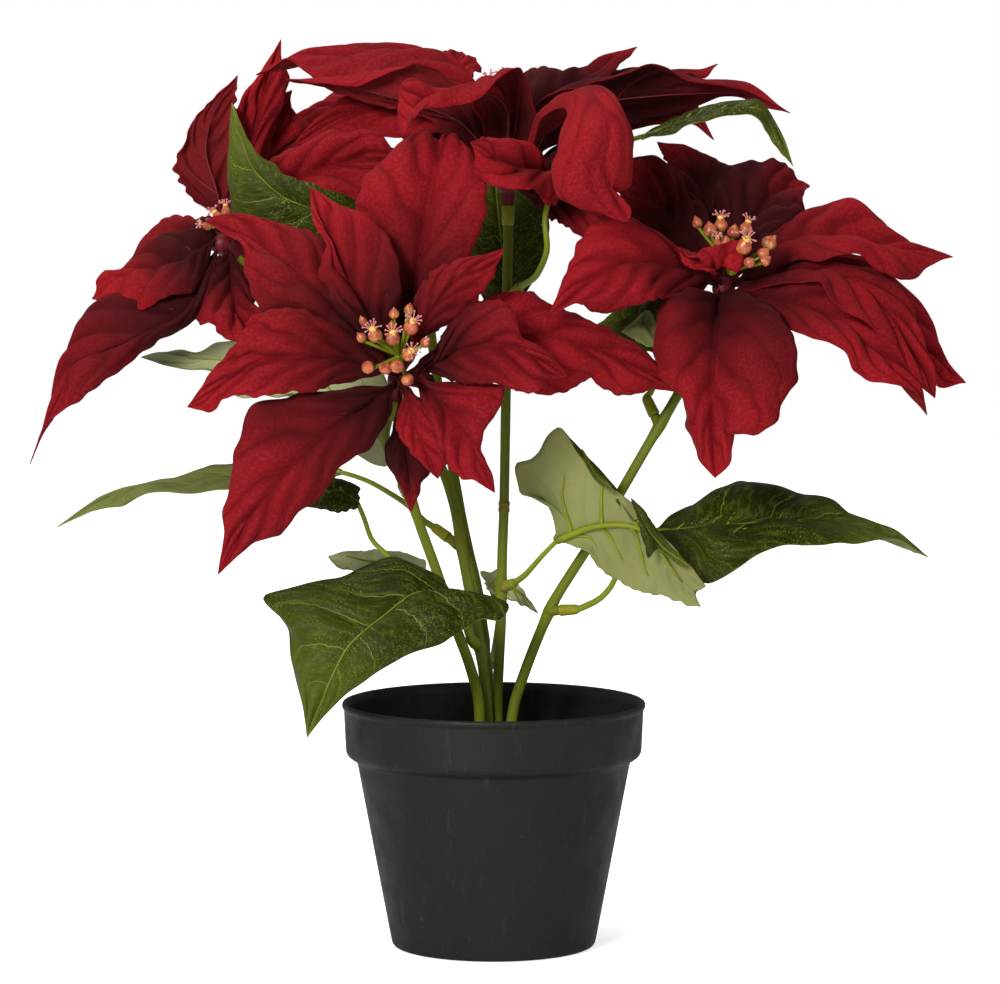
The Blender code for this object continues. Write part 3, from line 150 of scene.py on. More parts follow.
# Each blade is (middle, left edge, right edge), from its root to its tip. Left and right are as seen on its
# upper face with the tip up, and both edges end at the tip that closes the middle.
BRACTS = {
    "front": {
        "top": (
            [(405, 362, -72), (412, 310, -76), (420, 255, -76), (430, 200, -72), (436, 158, -66),
             (438, 134, -56), (442, 150, -38)],
            [(393, 335, -76), (374, 285, -80), (361, 240, -80), (357, 203, -76), (365, 175, -70),
             (390, 148, -60), (420, 137, -48)],
            [(420, 330, -78), (440, 292, -84), (462, 256, -84), (476, 222, -82), (482, 190, -78),
             (478, 158, -70), (464, 136, -58)],
        ),
        "top_left": (
            [(398, 362, -74), (378, 330, -84), (352, 285, -90), (330, 240, -88), (318, 210, -82),
             (310, 187, -72)],
            [(352, 320, -88), (330, 292, -94), (318, 270, -94), (327, 247, -92), (314, 225, -88),
             (311, 205, -80)],
            [(402, 330, -84), (400, 290, -94), (392, 250, -94), (372, 220, -90), (340, 203, -82)],
        ),
        "left_upper": (
            [(394, 366, -72), (362, 338, -78), (322, 300, -84), (282, 262, -80), (245, 236, -72),
             (204, 221, -62)],
            [(378, 356, -76), (345, 342, -82), (310, 330, -88), (264, 312, -90), (247, 275, -82),
             (241, 246, -76), (222, 231, -68)],
            [(380, 330, -76), (350, 290, -76), (330, 255, -74), (312, 230, -68), (285, 220, -64),
             (250, 216, -62), (222, 215, -60)],
        ),
        "left": (
            [(392, 374, -76), (350, 362, -84), (300, 356, -96), (255, 364, -96), (220, 386, -92),
             (187, 407, -84)],
            [(372, 374, -82), (340, 380, -90), (318, 389, -96), (270, 394, -100), (235, 394, -98),
             (221, 399, -94), (210, 411, -88)],
            [(378, 348, -78), (350, 330, -82), (322, 316, -90), (295, 308, -98), (258, 313, -98),
             (240, 337, -98), (222, 358, -94), (203, 385, -90)],
        ),
        "lower_left": (
            [(392, 386, -72), (360, 410, -84), (320, 440, -92), (280, 480, -94), (245, 525, -88),
             (218, 575, -78)],
            [(392, 410, -76), (382, 432, -84), (365, 450, -90), (340, 468, -92), (325, 497, -92),
             (300, 514, -90), (280, 537, -86), (240, 555, -82)],
            [(370, 386, -80), (330, 391, -88), (262, 400, -90), (248, 418, -92), (236, 450, -92),
             (228, 490, -88), (222, 540, -82)],
        ),
        "down_small": (
            [(400, 398, -66), (404, 440, -68), (408, 480, -68), (411, 512, -64)],
            [(412, 430, -68), (432, 462, -68), (422, 490, -66)],
            [(390, 430, -66), (383, 455, -66), (396, 485, -66)],
        ),
        "down": (
            [(406, 390, -76), (412, 420, -82), (424, 450, -84), (438, 479, -80)],
            [(425, 402, -80), (446, 430, -84), (448, 458, -84)],
            [(399, 408, -76), (397, 428, -80), (406, 447, -82), (424, 466, -82)],
        ),
        "down_right": (
            [(418, 382, -80), (448, 410, -90), (468, 440, -94), (484, 470, -92), (495, 493, -86)],
            [(460, 382, -90), (500, 385, -94), (499, 408, -96), (479, 440, -94), (484, 460, -92),
             (492, 474, -90)],
            [(420, 400, -84), (438, 440, -92), (452, 474, -92), (475, 482, -90)],
        ),
        "right": (
            [(424, 370, -78), (460, 350, -92), (500, 345, -98), (535, 357, -96), (568, 376, -88)],
            [(420, 359, -80), (438, 350, -88), (447, 328, -94), (470, 306, -98), (500, 304, -100),
             (516, 316, -100), (522, 335, -98), (548, 352, -94)],
            [(440, 378, -84), (460, 380, -90), (495, 384, -96), (520, 389, -96), (545, 382, -92)],
        ),
        "top_right": (
            [(412, 358, -78), (424, 330, -86), (440, 300, -92), (466, 272, -92), (504, 249, -84)],
            [(405, 336, -82), (412, 300, -88), (430, 274, -92), (460, 257, -90), (485, 253, -86)],
            [(422, 344, -82), (438, 333, -88), (452, 321, -94), (474, 300, -94), (492, 280, -90)],
        ),
        "right_long": (
            [(422, 366, -72), (480, 345, -76), (540, 335, -72), (600, 350, -62), (650, 372, -52),
             (684, 394, -44)],
            [(450, 325, -74), (490, 297, -74), (522, 289, -70), (545, 294, -68), (590, 315, -60),
             (640, 340, -52), (665, 368, -46)],
            [(460, 372, -74), (520, 389, -74), (552, 393, -70), (590, 378, -64), (625, 394, -58),
             (660, 389, -50)],
        ),
    },
    "left": {
        "upright": (
            [(222, 228, 6), (214, 195, 6), (204, 150, 8), (214, 110, 14), (238, 75, 20)],
            [(212, 212, 4), (195, 197, 2), (179, 180, 2), (176, 165, 4), (184, 142, 6), (197, 115, 10),
             (218, 96, 14)],
            [(232, 205, 10), (236, 160, 12), (236, 120, 14), (236, 95, 18)],
        ),
        "tall": (
            [(228, 228, 12), (246, 160, 22), (262, 100, 26), (281, 39, 32)],
            [(226, 190, 14), (232, 140, 18), (240, 99, 22), (254, 84, 24), (266, 64, 28)],
            [(244, 190, 20), (266, 140, 24), (285, 100, 26), (288, 78, 28), (281, 58, 30)],
        ),
        "rolled": (
            [(232, 232, 18), (252, 185, 32), (270, 140, 38), (292, 90, 40)],
            [(240, 190, 24), (255, 150, 30), (257, 112, 32), (270, 100, 36)],
            [(262, 190, 42), (290, 150, 48), (309, 129, 50), (300, 112, 46), (291, 100, 44)],
        ),
        "right": (
            [(234, 238, -2), (270, 195, -22), (310, 172, -30), (350, 160, -32), (400, 160, -30)],
            [(246, 195, -12), (262, 160, -20), (290, 148, -26), (320, 134, -28), (350, 132, -30),
             (376, 130, -30)],
            [(262, 215, -18), (285, 190, -32), (320, 192, -38), (358, 198, -40), (385, 185, -36)],
        ),
        "left_upper": (
            [(216, 238, 0), (190, 256, -6), (150, 272, -8), (118, 286, -8), (92, 299, -8)],
            [(205, 262, -10), (192, 286, -20), (160, 297, -24), (125, 301, -20), (104, 301, -14)],
            [(212, 217, 6), (197, 213, 10), (182, 226, 12), (162, 228, 12), (142, 244, 10), (121, 271, 6),
             (101, 275, 2), (98, 289, -2)],
        ),
        "left_lower": (
            [(217, 250, 0), (185, 308, -22), (150, 328, -28), (125, 341, -30), (73, 362, -28),
             (60, 395, -24), (42, 430, -20), (30, 464, -16)],
            [(216, 284, -12), (197, 317, -22), (160, 341, -28), (122, 369, -30), (86, 394, -30),
             (60, 415, -26), (42, 438, -20)],
            [(206, 262, 4), (172, 282, 0), (135, 290, -4), (104, 299, -6), (82, 318, -10), (73, 345, -14),
             (59, 380, -18), (45, 418, -18)],
        ),
        "down": (
            [(230, 252, -2), (232, 285, -12), (242, 318, -20), (272, 352, -24)],
            [(248, 270, -6), (264, 308, -14), (275, 335, -20)],
            [(208, 260, -6), (198, 288, -14), (198, 316, -22), (214, 321, -26), (238, 341, -26)],
        ),
        "rear": (
            [(234, 232, 16), (240, 222, 45), (244, 235, 75), (248, 264, 100)],
            [(208, 222, 42), (212, 236, 75), (232, 250, 92)],
            [(266, 226, 42), (270, 240, 75), (262, 254, 92)],
        ),
        "rear_left": (
            [(222, 236, 14), (186, 222, 36), (155, 240, 60), (128, 284, 80)],
            [(200, 240, 20), (160, 240, 36), (135, 262, 60)],
            [(205, 218, 44), (180, 224, 66), (150, 250, 80)],
        ),
    },
    "centre": {
        "left_long": (
            [(500, 160, 6), (465, 85, 14), (420, 62, 16), (370, 56, 14), (320, 60, 10), (256, 75, 2)],
            [(482, 110, 2), (445, 76, 0), (400, 63, -4), (370, 69, -8), (330, 80, -10), (300, 72, -6),
             (280, 66, 0)],
            [(480, 96, 20), (440, 58, 28), (400, 50, 30), (370, 45, 30), (335, 48, 26), (300, 53, 18),
             (278, 61, 10)],
        ),
        "left_under": (
            [(504, 172, -4), (465, 120, -12), (410, 98, -16), (350, 85, -16), (284, 79, -12)],
            [(480, 110, -16), (440, 70, -24), (400, 66, -26), (350, 76, -22), (315, 78, -18)],
            [(480, 150, -4), (440, 128, -6), (400, 116, -8), (345, 94, -8), (305, 87, -10)],
        ),
        "left_rear": (
            [(504, 176, 4), (440, 125, 10), (380, 108, 10), (335, 118, 6), (291, 148, 0)],
            [(450, 142, 4), (400, 134, 2), (360, 132, 2), (322, 133, 0), (306, 141, 0)],
            [(440, 100, 20), (400, 92, 20), (355, 88, 18), (340, 92, 14), (312, 120, 6)],
        ),
        "front_left": (
            [(506, 172, -8), (507, 114, -26), (484, 100, -42), (440, 103, -54), (399, 87, -58)],
            [(526, 148, -14), (534, 116, -22), (524, 72, -40), (504, 80, -50), (479, 97, -58),
             (450, 110, -62), (425, 119, -64), (404, 138, -66), (400, 112, -62)],
            [(490, 140, -12), (486, 106, -20), (474, 90, -32), (452, 98, -40), (430, 88, -46),
             (412, 75, -52)],
        ),
        "front": (
            [(514, 182, -10), (545, 175, -36), (530, 168, -54), (505, 160, -68), (470, 142, -80)],
            [(562, 200, -46), (542, 194, -58), (520, 193, -66), (500, 184, -74), (480, 158, -80)],
            [(536, 158, -22), (550, 170, -40), (530, 150, -50), (500, 137, -62), (484, 138, -72)],
        ),
        "front_right": (
            [(516, 172, -8), (548, 118, -26), (585, 97, -50), (606, 130, -70), (604, 170, -76),
             (629, 222, -72)],
            [(555, 125, -16), (595, 98, -36), (620, 110, -58), (637, 142, -66), (641, 162, -70),
             (638, 184, -72), (619, 194, -74), (607, 190, -76), (630, 208, -74)],
            [(532, 140, -20), (556, 112, -44), (567, 112, -60), (556, 150, -72), (553, 180, -76),
             (562, 200, -78), (592, 211, -76), (620, 221, -74)],
        ),
        "right_rear": (
            [(516, 174, 8), (540, 112, 16), (576, 84, 24), (608, 64, 30), (637, 47, 32)],
            [(514, 138, 18), (522, 108, 26), (536, 69, 36), (556, 70, 38), (576, 80, 38), (598, 60, 38),
             (618, 51, 36)],
            [(545, 138, 8), (572, 100, 10), (596, 86, 14), (612, 70, 20), (627, 56, 26)],
        ),
        "right_long": (
            [(518, 178, 0), (560, 112, -4), (620, 98, -4), (690, 92, -4), (750, 92, -4), (790, 113, -8)],
            [(545, 152, 8), (575, 138, 12), (605, 138, 14), (640, 130, 16), (690, 113, 12), (735, 98, 4)],
            [(540, 106, -16), (575, 80, -20), (620, 66, -24), (655, 58, -26), (690, 72, -22),
             (740, 84, -12)],
        ),
        "right_tip": (
            [(518, 172, 8), (572, 104, 22), (640, 78, 34), (690, 76, 38), (718, 64, 40)],
            [(570, 84, 40), (640, 66, 48), (690, 70, 46)],
            [(585, 112, 16), (640, 86, 22), (690, 82, 30)],
        ),
        "right_low": (
            [(520, 180, 4), (590, 142, 20), (650, 118, 28), (692, 116, 28), (714, 140, 24)],
            [(590, 112, 30), (650, 100, 38), (695, 108, 34)],
            [(545, 180, 6), (590, 154, 18), (645, 128, 24), (690, 124, 24)],
        ),
        "right_hanging": (
            [(516, 188, -2), (550, 196, -16), (590, 210, -24), (635, 232, -28)],
            [(534, 158, -2), (560, 154, -8), (600, 186, -16), (625, 212, -22)],
            [(548, 214, -22), (583, 236, -30), (612, 240, -32)],
        ),
        "rear": (
            [(512, 172, 10), (535, 100, 34), (560, 80, 62), (582, 100, 92)],
            [(502, 138, 24), (506, 108, 36), (528, 80, 66), (560, 84, 84)],
            [(544, 150, 22), (564, 120, 32), (592, 96, 60), (590, 100, 78)],
        ),
    },
    "right": {
        "front_down": (
            [(720, 298, -24), (716, 340, -50), (712, 385, -60), (712, 430, -62), (715, 478, -58)],
            [(742, 290, -32), (768, 304, -44), (787, 324, -52), (798, 350, -60), (796, 376, -64),
             (783, 400, -66), (780, 420, -66), (754, 435, -66), (737, 429, -64), (730, 419, -62),
             (734, 448, -62), (728, 466, -60)],
            [(698, 288, -32), (664, 304, -44), (654, 340, -52), (660, 376, -56), (680, 398, -58),
             (685, 430, -60), (699, 460, -60)],
        ),
        "low_right": (
            [(732, 296, -24), (785, 302, -34), (835, 318, -38), (885, 358, -38), (927, 415, -32)],
            [(746, 280, -24), (776, 276, -26), (822, 274, -26), (858, 304, -26), (895, 346, -28),
             (921, 388, -28)],
            [(740, 306, -32), (762, 322, -38), (797, 339, -46), (834, 349, -50), (868, 378, -48),
             (916, 391, -40)],
        ),
        "right_down": (
            [(736, 284, -20), (790, 274, -24), (850, 286, -24), (895, 325, -22), (935, 398, -20)],
            [(748, 264, -12), (780, 262, -8), (830, 258, -6), (872, 263, -6), (905, 300, -8),
             (920, 335, -12), (936, 372, -16)],
            [(746, 292, -28), (780, 290, -34), (820, 279, -40), (838, 302, -40), (872, 332, -36),
             (915, 380, -28)],
        ),
        "right_rear": (
            [(738, 278, -10), (800, 262, 4), (870, 284, 12), (925, 345, 10), (966, 383, 4)],
            [(800, 248, 14), (870, 262, 24), (930, 325, 20), (950, 362, 10)],
            [(800, 276, -2), (870, 306, 2), (915, 362, 4), (942, 383, 4)],
        ),
        "right": (
            [(738, 270, -14), (790, 244, -10), (850, 234, -4), (900, 246, 0), (953, 257, 2)],
            [(748, 248, -8), (770, 232, 0), (800, 217, 10), (850, 214, 14), (880, 222, 12), (905, 237, 8)],
            [(752, 276, -20), (780, 262, -22), (830, 256, -24), (862, 256, -20), (893, 276, -14),
             (912, 273, -8), (925, 263, -4)],
        ),
        "top_right": (
            [(732, 262, -8), (750, 222, 4), (775, 190, 14), (810, 186, 20)],
            [(718, 250, -8), (720, 230, 0), (714, 195, 8), (728, 168, 16), (758, 164, 20), (784, 160, 26),
             (790, 172, 26)],
            [(752, 262, -8), (775, 238, -4), (803, 216, 4), (804, 194, 12)],
        ),
        "top": (
            [(722, 262, -6), (712, 215, 10), (695, 175, 22), (657, 142, 34)],
            [(704, 256, -6), (700, 234, 0), (684, 205, 8), (670, 178, 18), (662, 157, 26)],
            [(740, 254, -2), (735, 225, 14), (738, 190, 26), (722, 166, 34), (690, 147, 36)],
        ),
        "top_left": (
            [(712, 270, -12), (688, 240, -10), (660, 210, -4), (635, 185, 0), (608, 166, 4)],
            [(700, 272, -16), (682, 256, -18), (655, 240, -16), (630, 218, -12), (610, 192, -6)],
            [(722, 256, -10), (706, 232, -2), (686, 195, 6), (664, 168, 12), (636, 158, 12)],
        ),
        "left": (
            [(712, 278, -24), (670, 264, -42), (625, 262, -58), (585, 285, -72), (547, 318, -82)],
            [(706, 292, -28), (684, 296, -42), (650, 301, -60), (612, 310, -68), (578, 303, -76)],
            [(704, 262, -26), (686, 252, -34), (650, 228, -40), (605, 219, -48), (583, 238, -60),
             (566, 275, -72)],
        ),
        "inner": (
            [(714, 272, -28), (708, 266, -42), (694, 258, -50), (677, 247, -52)],
            [(712, 276, -38), (702, 270, -48), (688, 264, -53)],
            [(718, 263, -44), (736, 258, -50), (722, 251, -54), (704, 251, -56), (690, 254, -55)],
        ),
        "rear": (
            [(728, 262, 0), (744, 232, 32), (758, 240, 62), (772, 278, 88)],
            [(716, 232, 34), (730, 240, 66), (752, 262, 82)],
            [(776, 238, 28), (792, 256, 56), (785, 272, 76)],
        ),
        "rear_left": (
            [(716, 264, 2), (692, 240, 34), (672, 250, 62), (650, 290, 84)],
            [(670, 250, 26), (645, 264, 54), (645, 282, 74)],
            [(712, 236, 44), (700, 250, 72), (670, 276, 84)],
        ),
    },
    "back": {
        "up_left": (
            [(410, 134, 78), (400, 95, 82), (393, 64, 88), (398, 45, 98)],
            [(388, 110, 78), (370, 78, 82), (378, 56, 90)],
            [(418, 100, 88), (422, 70, 92), (412, 50, 98)],
        ),
        "up_right": (
            [(414, 134, 78), (435, 95, 76), (454, 66, 80), (462, 52, 90)],
            [(420, 105, 84), (430, 72, 86), (444, 54, 90)],
            [(446, 112, 70), (474, 84, 72), (478, 62, 80)],
        ),
        "left": (
            [(406, 138, 76), (365, 110, 72), (320, 112, 70), (275, 140, 68)],
            [(375, 130, 60), (330, 132, 54), (295, 145, 58)],
            [(372, 96, 86), (325, 98, 86), (290, 120, 80)],
        ),
        "rear_left": (
            [(408, 138, 82), (380, 108, 104), (350, 115, 128), (320, 155, 146)],
            [(370, 125, 90), (330, 128, 112), (312, 150, 134)],
            [(400, 104, 112), (375, 112, 140), (340, 140, 152)],
        ),
        "rear": (
            [(414, 138, 84), (425, 108, 112), (436, 120, 142), (444, 162, 166)],
            [(402, 110, 116), (408, 126, 146), (430, 154, 162)],
            [(450, 116, 112), (464, 134, 140), (456, 158, 158)],
        ),
        "right_rear": (
            [(418, 140, 80), (456, 118, 98), (494, 130, 116), (530, 168, 128)],
            [(446, 108, 112), (485, 118, 132), (520, 152, 140)],
            [(464, 134, 84), (506, 148, 98), (530, 162, 114)],
        ),
        "low_left": (
            [(408, 148, 72), (385, 165, 56), (362, 196, 48), (345, 236, 48)],
            [(400, 180, 54), (385, 212, 44), (358, 232, 44)],
            [(372, 150, 62), (344, 180, 58), (334, 216, 54)],
        ),
        "low_rear": (
            [(412, 152, 84), (400, 165, 110), (392, 200, 130), (388, 246, 138)],
            [(376, 170, 108), (366, 205, 124), (376, 236, 134)],
            [(424, 174, 114), (420, 208, 134), (400, 238, 140)],
        ),
    },
}

# Each leaf is (stem, peg point on the stem, way of the peg, petiole beyond it, blade).
LEAVES = {
    "front": (
        "left", (479, 648, -3), (466, 634, -18), [(462, 616, -42), (460, 600, -50)],
        (
            [(452, 594, -54), (415, 592, -62), (378, 620, -70), (350, 645, -74), (331, 678, -74),
             (307, 738, -66)],
            [(480, 594, -56), (508, 606, -58), (497, 622, -62), (475, 622, -66), (441, 646, -72),
             (400, 660, -76), (345, 695, -74), (322, 718, -70)],
            [(440, 576, -50), (400, 556, -50), (380, 558, -52), (345, 576, -56), (320, 581, -58),
             (264, 596, -60), (280, 617, -64), (289, 632, -66), (291, 660, -70), (303, 705, -70)],
        ),
    ),
    "low_left_rear": (
        "back", (484, 640, 10), (471, 630, 22), [(455, 600, 20), (440, 585, 20)],
        (
            [(425, 575, 20), (400, 566, 18), (370, 562, 16), (328, 556, 10)],
            [(430, 590, 12), (395, 585, 8), (362, 575, 6), (338, 570, 8)],
            [(425, 560, 30), (395, 550, 30), (365, 552, 24), (345, 553, 16)],
        ),
    ),
    "low_right_rear": (
        "back", (486, 672, 9), (494, 655, 22), [(497, 630, 28), (498, 612, 30)],
        (
            [(490, 586, 28), (502, 587, 28), (519, 595, 26), (538, 613, 22)],
            [(480, 573, 34), (496, 574, 34), (512, 582, 32), (528, 598, 28)],
            [(490, 594, 24), (500, 598, 24), (514, 601, 24), (530, 611, 20)],
        ),
    ),
    "pale_right": (
        "centre", (502, 588, 2), (514, 583, -10), [(526, 574, -18), (542, 556, -26)],
        (
            [(557, 541, -32), (590, 527, -40), (622, 524, -45), (642, 530, -47), (668, 562, -43),
             (701, 607, -36)],
            [(575, 546, -36), (591, 551, -38), (600, 568, -38), (614, 579, -38), (640, 590, -38),
             (665, 598, -38), (688, 604, -36)],
            [(553, 516, -32), (545, 499, -31), (520, 491, -28), (516, 465, -28), (531, 459, -31),
             (545, 441, -34), (561, 427, -36), (585, 456, -41), (606, 481, -44), (632, 500, -48),
             (660, 535, -48), (690, 566, -44), (705, 586, -40), (694, 591, -38)],
        ),
    ),
    "right": (
        "right", (549, 611, -10), (566, 610, -14),
        [(598, 600, -16), (610, 588, -15), (620, 570, -12), (640, 545, -8)],
        (
            [(656, 531, -6), (690, 527, -4), (735, 522, -2), (790, 518, 2), (850, 524, 6), (928, 557, 8)],
            [(672, 512, 4), (690, 500, 10), (718, 485, 18), (742, 478, 22), (775, 484, 24), (800, 490, 24),
             (830, 498, 22), (850, 514, 16), (895, 530, 12)],
            [(672, 550, -18), (705, 580, -26), (740, 566, -26), (785, 543, -22), (825, 546, -18),
             (875, 538, -8), (905, 545, 0)],
        ),
    ),
    "top_right": (
        "centre", (507, 302, 0), (518, 289, -8),
        [(536, 276, -20), (547, 250, -32), (545, 216, -32), (556, 186, -29), (590, 158, -34),
         (620, 144, -34)],
        (
            [(640, 137, -34), (690, 117, -32), (735, 108, -32), (760, 108, -32), (778, 127, -30),
             (793, 166, -28)],
            [(665, 121, -26), (700, 109, -24), (735, 104, -24), (757, 101, -26), (772, 118, -28),
             (784, 138, -29)],
            [(665, 134, -38), (700, 121, -40), (735, 113, -40), (752, 121, -38), (768, 132, -35),
             (782, 152, -31)],
        ),
    ),
    "middle_right": (
        "right", (660, 427, -20), (653, 412, -18), [(652, 390, -16), (656, 365, -14)],
        (
            [(660, 350, -12), (650, 330, -12), (625, 320, -14), (590, 328, -18)],
            [(655, 352, -24), (640, 346, -28), (622, 341, -28), (603, 335, -24)],
            [(680, 320, 0), (672, 295, 2), (640, 300, 0), (610, 318, -8)],
        ),
    ),
    "centre_rear": (
        "centre", (507, 350, 0), (507, 338, 12), [(507, 325, 18)],
        (
            [(506, 312, 22), (505, 280, 26), (500, 230, 30), (495, 180, 30), (490, 150, 26)],
            [(484, 300, 24), (466, 255, 28), (466, 205, 28), (476, 165, 26)],
            [(526, 292, 20), (548, 252, 20), (548, 220, 22), (538, 195, 24), (512, 162, 26)],
        ),
    ),
    "top_left": (
        "left", (400, 408, 13), (398, 392, 2), [(396, 350, -16), (392, 290, -34), (384, 245, -44)],
        (
            [(372, 225, -48), (330, 215, -52), (285, 200, -54), (250, 165, -52), (232, 103, -46)],
            [(340, 250, -44), (290, 250, -42), (250, 238, -42), (229, 215, -42), (227, 170, -44),
             (229, 130, -46)],
            [(352, 199, -54), (318, 190, -60), (290, 181, -60), (262, 160, -56), (247, 136, -51)],
        ),
    ),
    "rear_top": (
        "back", (423, 265, 64), (412, 252, 52), [(400, 235, 40), (392, 215, 30)],
        (
            [(385, 200, 24), (370, 182, 18), (345, 172, 14), (312, 172, 10)],
            [(375, 212, 12), (352, 204, 6), (328, 190, 4)],
            [(392, 178, 30), (378, 160, 30), (345, 155, 24), (325, 160, 16)],
        ),
    ),
    "mid_left": (
        "front", (411, 500, -45), (402, 485, -34), [(400, 470, -22), (396, 456, -14)],
        (
            [(388, 446, -10), (350, 415, -2), (290, 385, 6), (230, 362, 8), (185, 359, 6), (141, 357, 0)],
            [(386, 467, -14), (355, 455, -10), (320, 425, -6), (292, 398, -4), (240, 396, 0), (214, 372, 2),
             (180, 369, 2), (160, 364, 0)],
            [(392, 412, -2), (378, 366, 6), (340, 360, 12), (290, 345, 16), (228, 343, 18), (205, 350, 14),
             (188, 353, 12), (160, 352, 6)],
        ),
    ),
    "far_left": (
        "left", (458, 545, 0), (442, 533, 4), [(424, 521, 8), (405, 503, 14), (370, 482, 20)],
        (
            [(340, 472, 24), (290, 470, 26), (230, 478, 20), (180, 486, 14), (120, 496, 6), (57, 527, -4)],
            [(320, 492, 16), (280, 500, 12), (230, 491, 8), (190, 496, 4), (148, 492, 2), (122, 505, 0),
             (90, 511, -2)],
            [(325, 452, 34), (285, 450, 36), (235, 463, 32), (212, 463, 30), (185, 472, 26), (150, 481, 20),
             (118, 488, 12), (90, 504, 4)],
        ),
    ),
    "small_left": (
        "front", (452, 618, -22), (436, 619, -22),
        [(412, 585, -32), (388, 556, -34), (372, 540, -34), (364, 518, -36)],
        (
            [(356, 500, -38), (340, 490, -42), (318, 492, -46), (286, 500, -48)],
            [(358, 507, -42), (335, 511, -48), (312, 508, -50)],
            [(360, 487, -34), (340, 476, -36), (312, 480, -40)],
        ),
    ),
}

# The flower heads of each bloom, as (across, down, depth, radius), on stalks from its knob.
HEADS = {
    "front": ((400, 356, -85), [
        (375, 335, -98, 2.8), (393, 338, -99, 2.7), (409, 354, -99, 2.7), (411, 327, -97, 2.8),
        (367, 367, -96, 2.5), (385, 368, -98, 2.4), (397, 366, -101, 2.6), (426, 342, -95, 2.0),
        (408, 380, -95, 2.4), (394, 313, -94, 2.0), (409, 309, -92, 1.9), (363, 321, -93, 1.5),
        (361, 337, -93, 1.9), (392, 326, -93, 1.7)]),
    "left": ((223, 226, -5), [
        (218, 217, -4, 2.3), (226, 211, -4, 2.0), (211, 222, -7, 2.0), (232, 219, -5, 2.2),
        (206, 226, -9, 1.5), (223, 221, -9, 2.1)]),
    "centre": ((503, 118, 0), [
        (490, 84, -4, 2.4), (502, 82, 6, 2.5), (515, 86, 0, 2.4), (499, 90, -12, 2.3),
        (488, 92, 10, 2.3), (511, 90, 14, 2.3), (511, 96, -10, 2.3), (477, 92, 4, 2.1)]),
    "right": ((732, 270, -34), [
        (697, 222, -34, 2.0), (710, 229, -40, 2.8), (721, 225, -36, 2.7), (734, 231, -40, 2.6),
        (746, 228, -36, 2.5), (744, 246, -46, 3.2), (726, 241, -44, 2.2), (718, 243, -44, 1.8),
        (770, 242, -40, 3.0), (764, 253, -42, 2.5), (766, 260, -44, 2.2), (750, 262, -47, 2.2)]),
    "back": ((416, 112, 88), [
        (410, 84, 92, 2.4), (424, 84, 96, 2.4), (416, 80, 104, 2.5), (404, 88, 102, 2.3),
        (428, 88, 106, 2.3), (414, 88, 112, 2.3)]),
}

# Colours
BRACT_BRIGHT = (0.315, 0.006, 0.011)
BRACT_DEEP = (0.150, 0.003, 0.006)
BRACT_PALE = (0.42, 0.045, 0.052)
BRACT_VEIN = (0.075, 0.003, 0.005)
# Darkens a bract towards its base: partly airbrushed dye, partly painted shade.
BRACT_BASE_DYE_AND_PAINTED_SHADE = (0.030, 0.004, 0.005)
# Painted shade in the grooves between the puffs along a bract's veins.
BRACT_PAINTED_FURROW_SHADE = (0.115, 0.003, 0.005)
BRACT_DUSTY = (0.125, 0.012, 0.013)
LEAF_DEEP = (0.015, 0.019, 0.0008)
LEAF_GREEN = (0.031, 0.039, 0.0015)
# A paler green for streaks and cut edges, also painted light towards a leaf's tip.
LEAF_PALE_GREEN_AND_PAINTED_LIGHT = (0.13, 0.155, 0.018)
LEAF_VEIN = (0.25, 0.29, 0.045)
SAGE = (0.215, 0.225, 0.065)
SAGE_PALE = (0.26, 0.27, 0.09)
# Painted light on the undersides of leaves whose tint is below 0.
SAGE_PAINTED_LIGHT = (0.46, 0.48, 0.24)
SAGE_VEIN = (0.16, 0.23, 0.045)
SAGE_WARM = (0.30, 0.25, 0.08)
STEM_GREEN = (0.125, 0.150, 0.006)
STEM_OLIVE = (0.165, 0.185, 0.013)
STEM_WARM = (0.40, 0.19, 0.02)
RIB_GREEN = (0.19, 0.23, 0.008)
RIB_LIGHT = (0.25, 0.28, 0.02)
RED_PLASTIC = (0.10, 0.004, 0.007)
RED_PLASTIC_LIGHT = (0.16, 0.008, 0.011)
HEAD_GREEN = (0.20, 0.14, 0.028)
HEAD_ORANGE = (0.50, 0.12, 0.05)
HEAD_PINK = (0.30, 0.04, 0.035)
HEAD_TIP = (0.28, 0.05, 0.05)
HEAD_YELLOW = (0.72, 0.34, 0.07)
STAMEN_PINK = (0.55, 0.12, 0.12)
STAMEN_LIGHT = (0.75, 0.34, 0.32)
POLLEN = (0.85, 0.50, 0.05)
POLLEN_LIGHT = (0.90, 0.65, 0.15)
POT_DARK = (0.0095, 0.0098, 0.0075)
POT_GREY = (0.0135, 0.014, 0.011)
POT_DUST = (0.05, 0.05, 0.043)
FILLER_DARK = (0.010, 0.008, 0.006)
FILLER_LIGHT = (0.045, 0.035, 0.025)
FLOOR = (0.88, 0.88, 0.88)
FLOOR_SHADE = (0.8624, 0.8624, 0.8624)

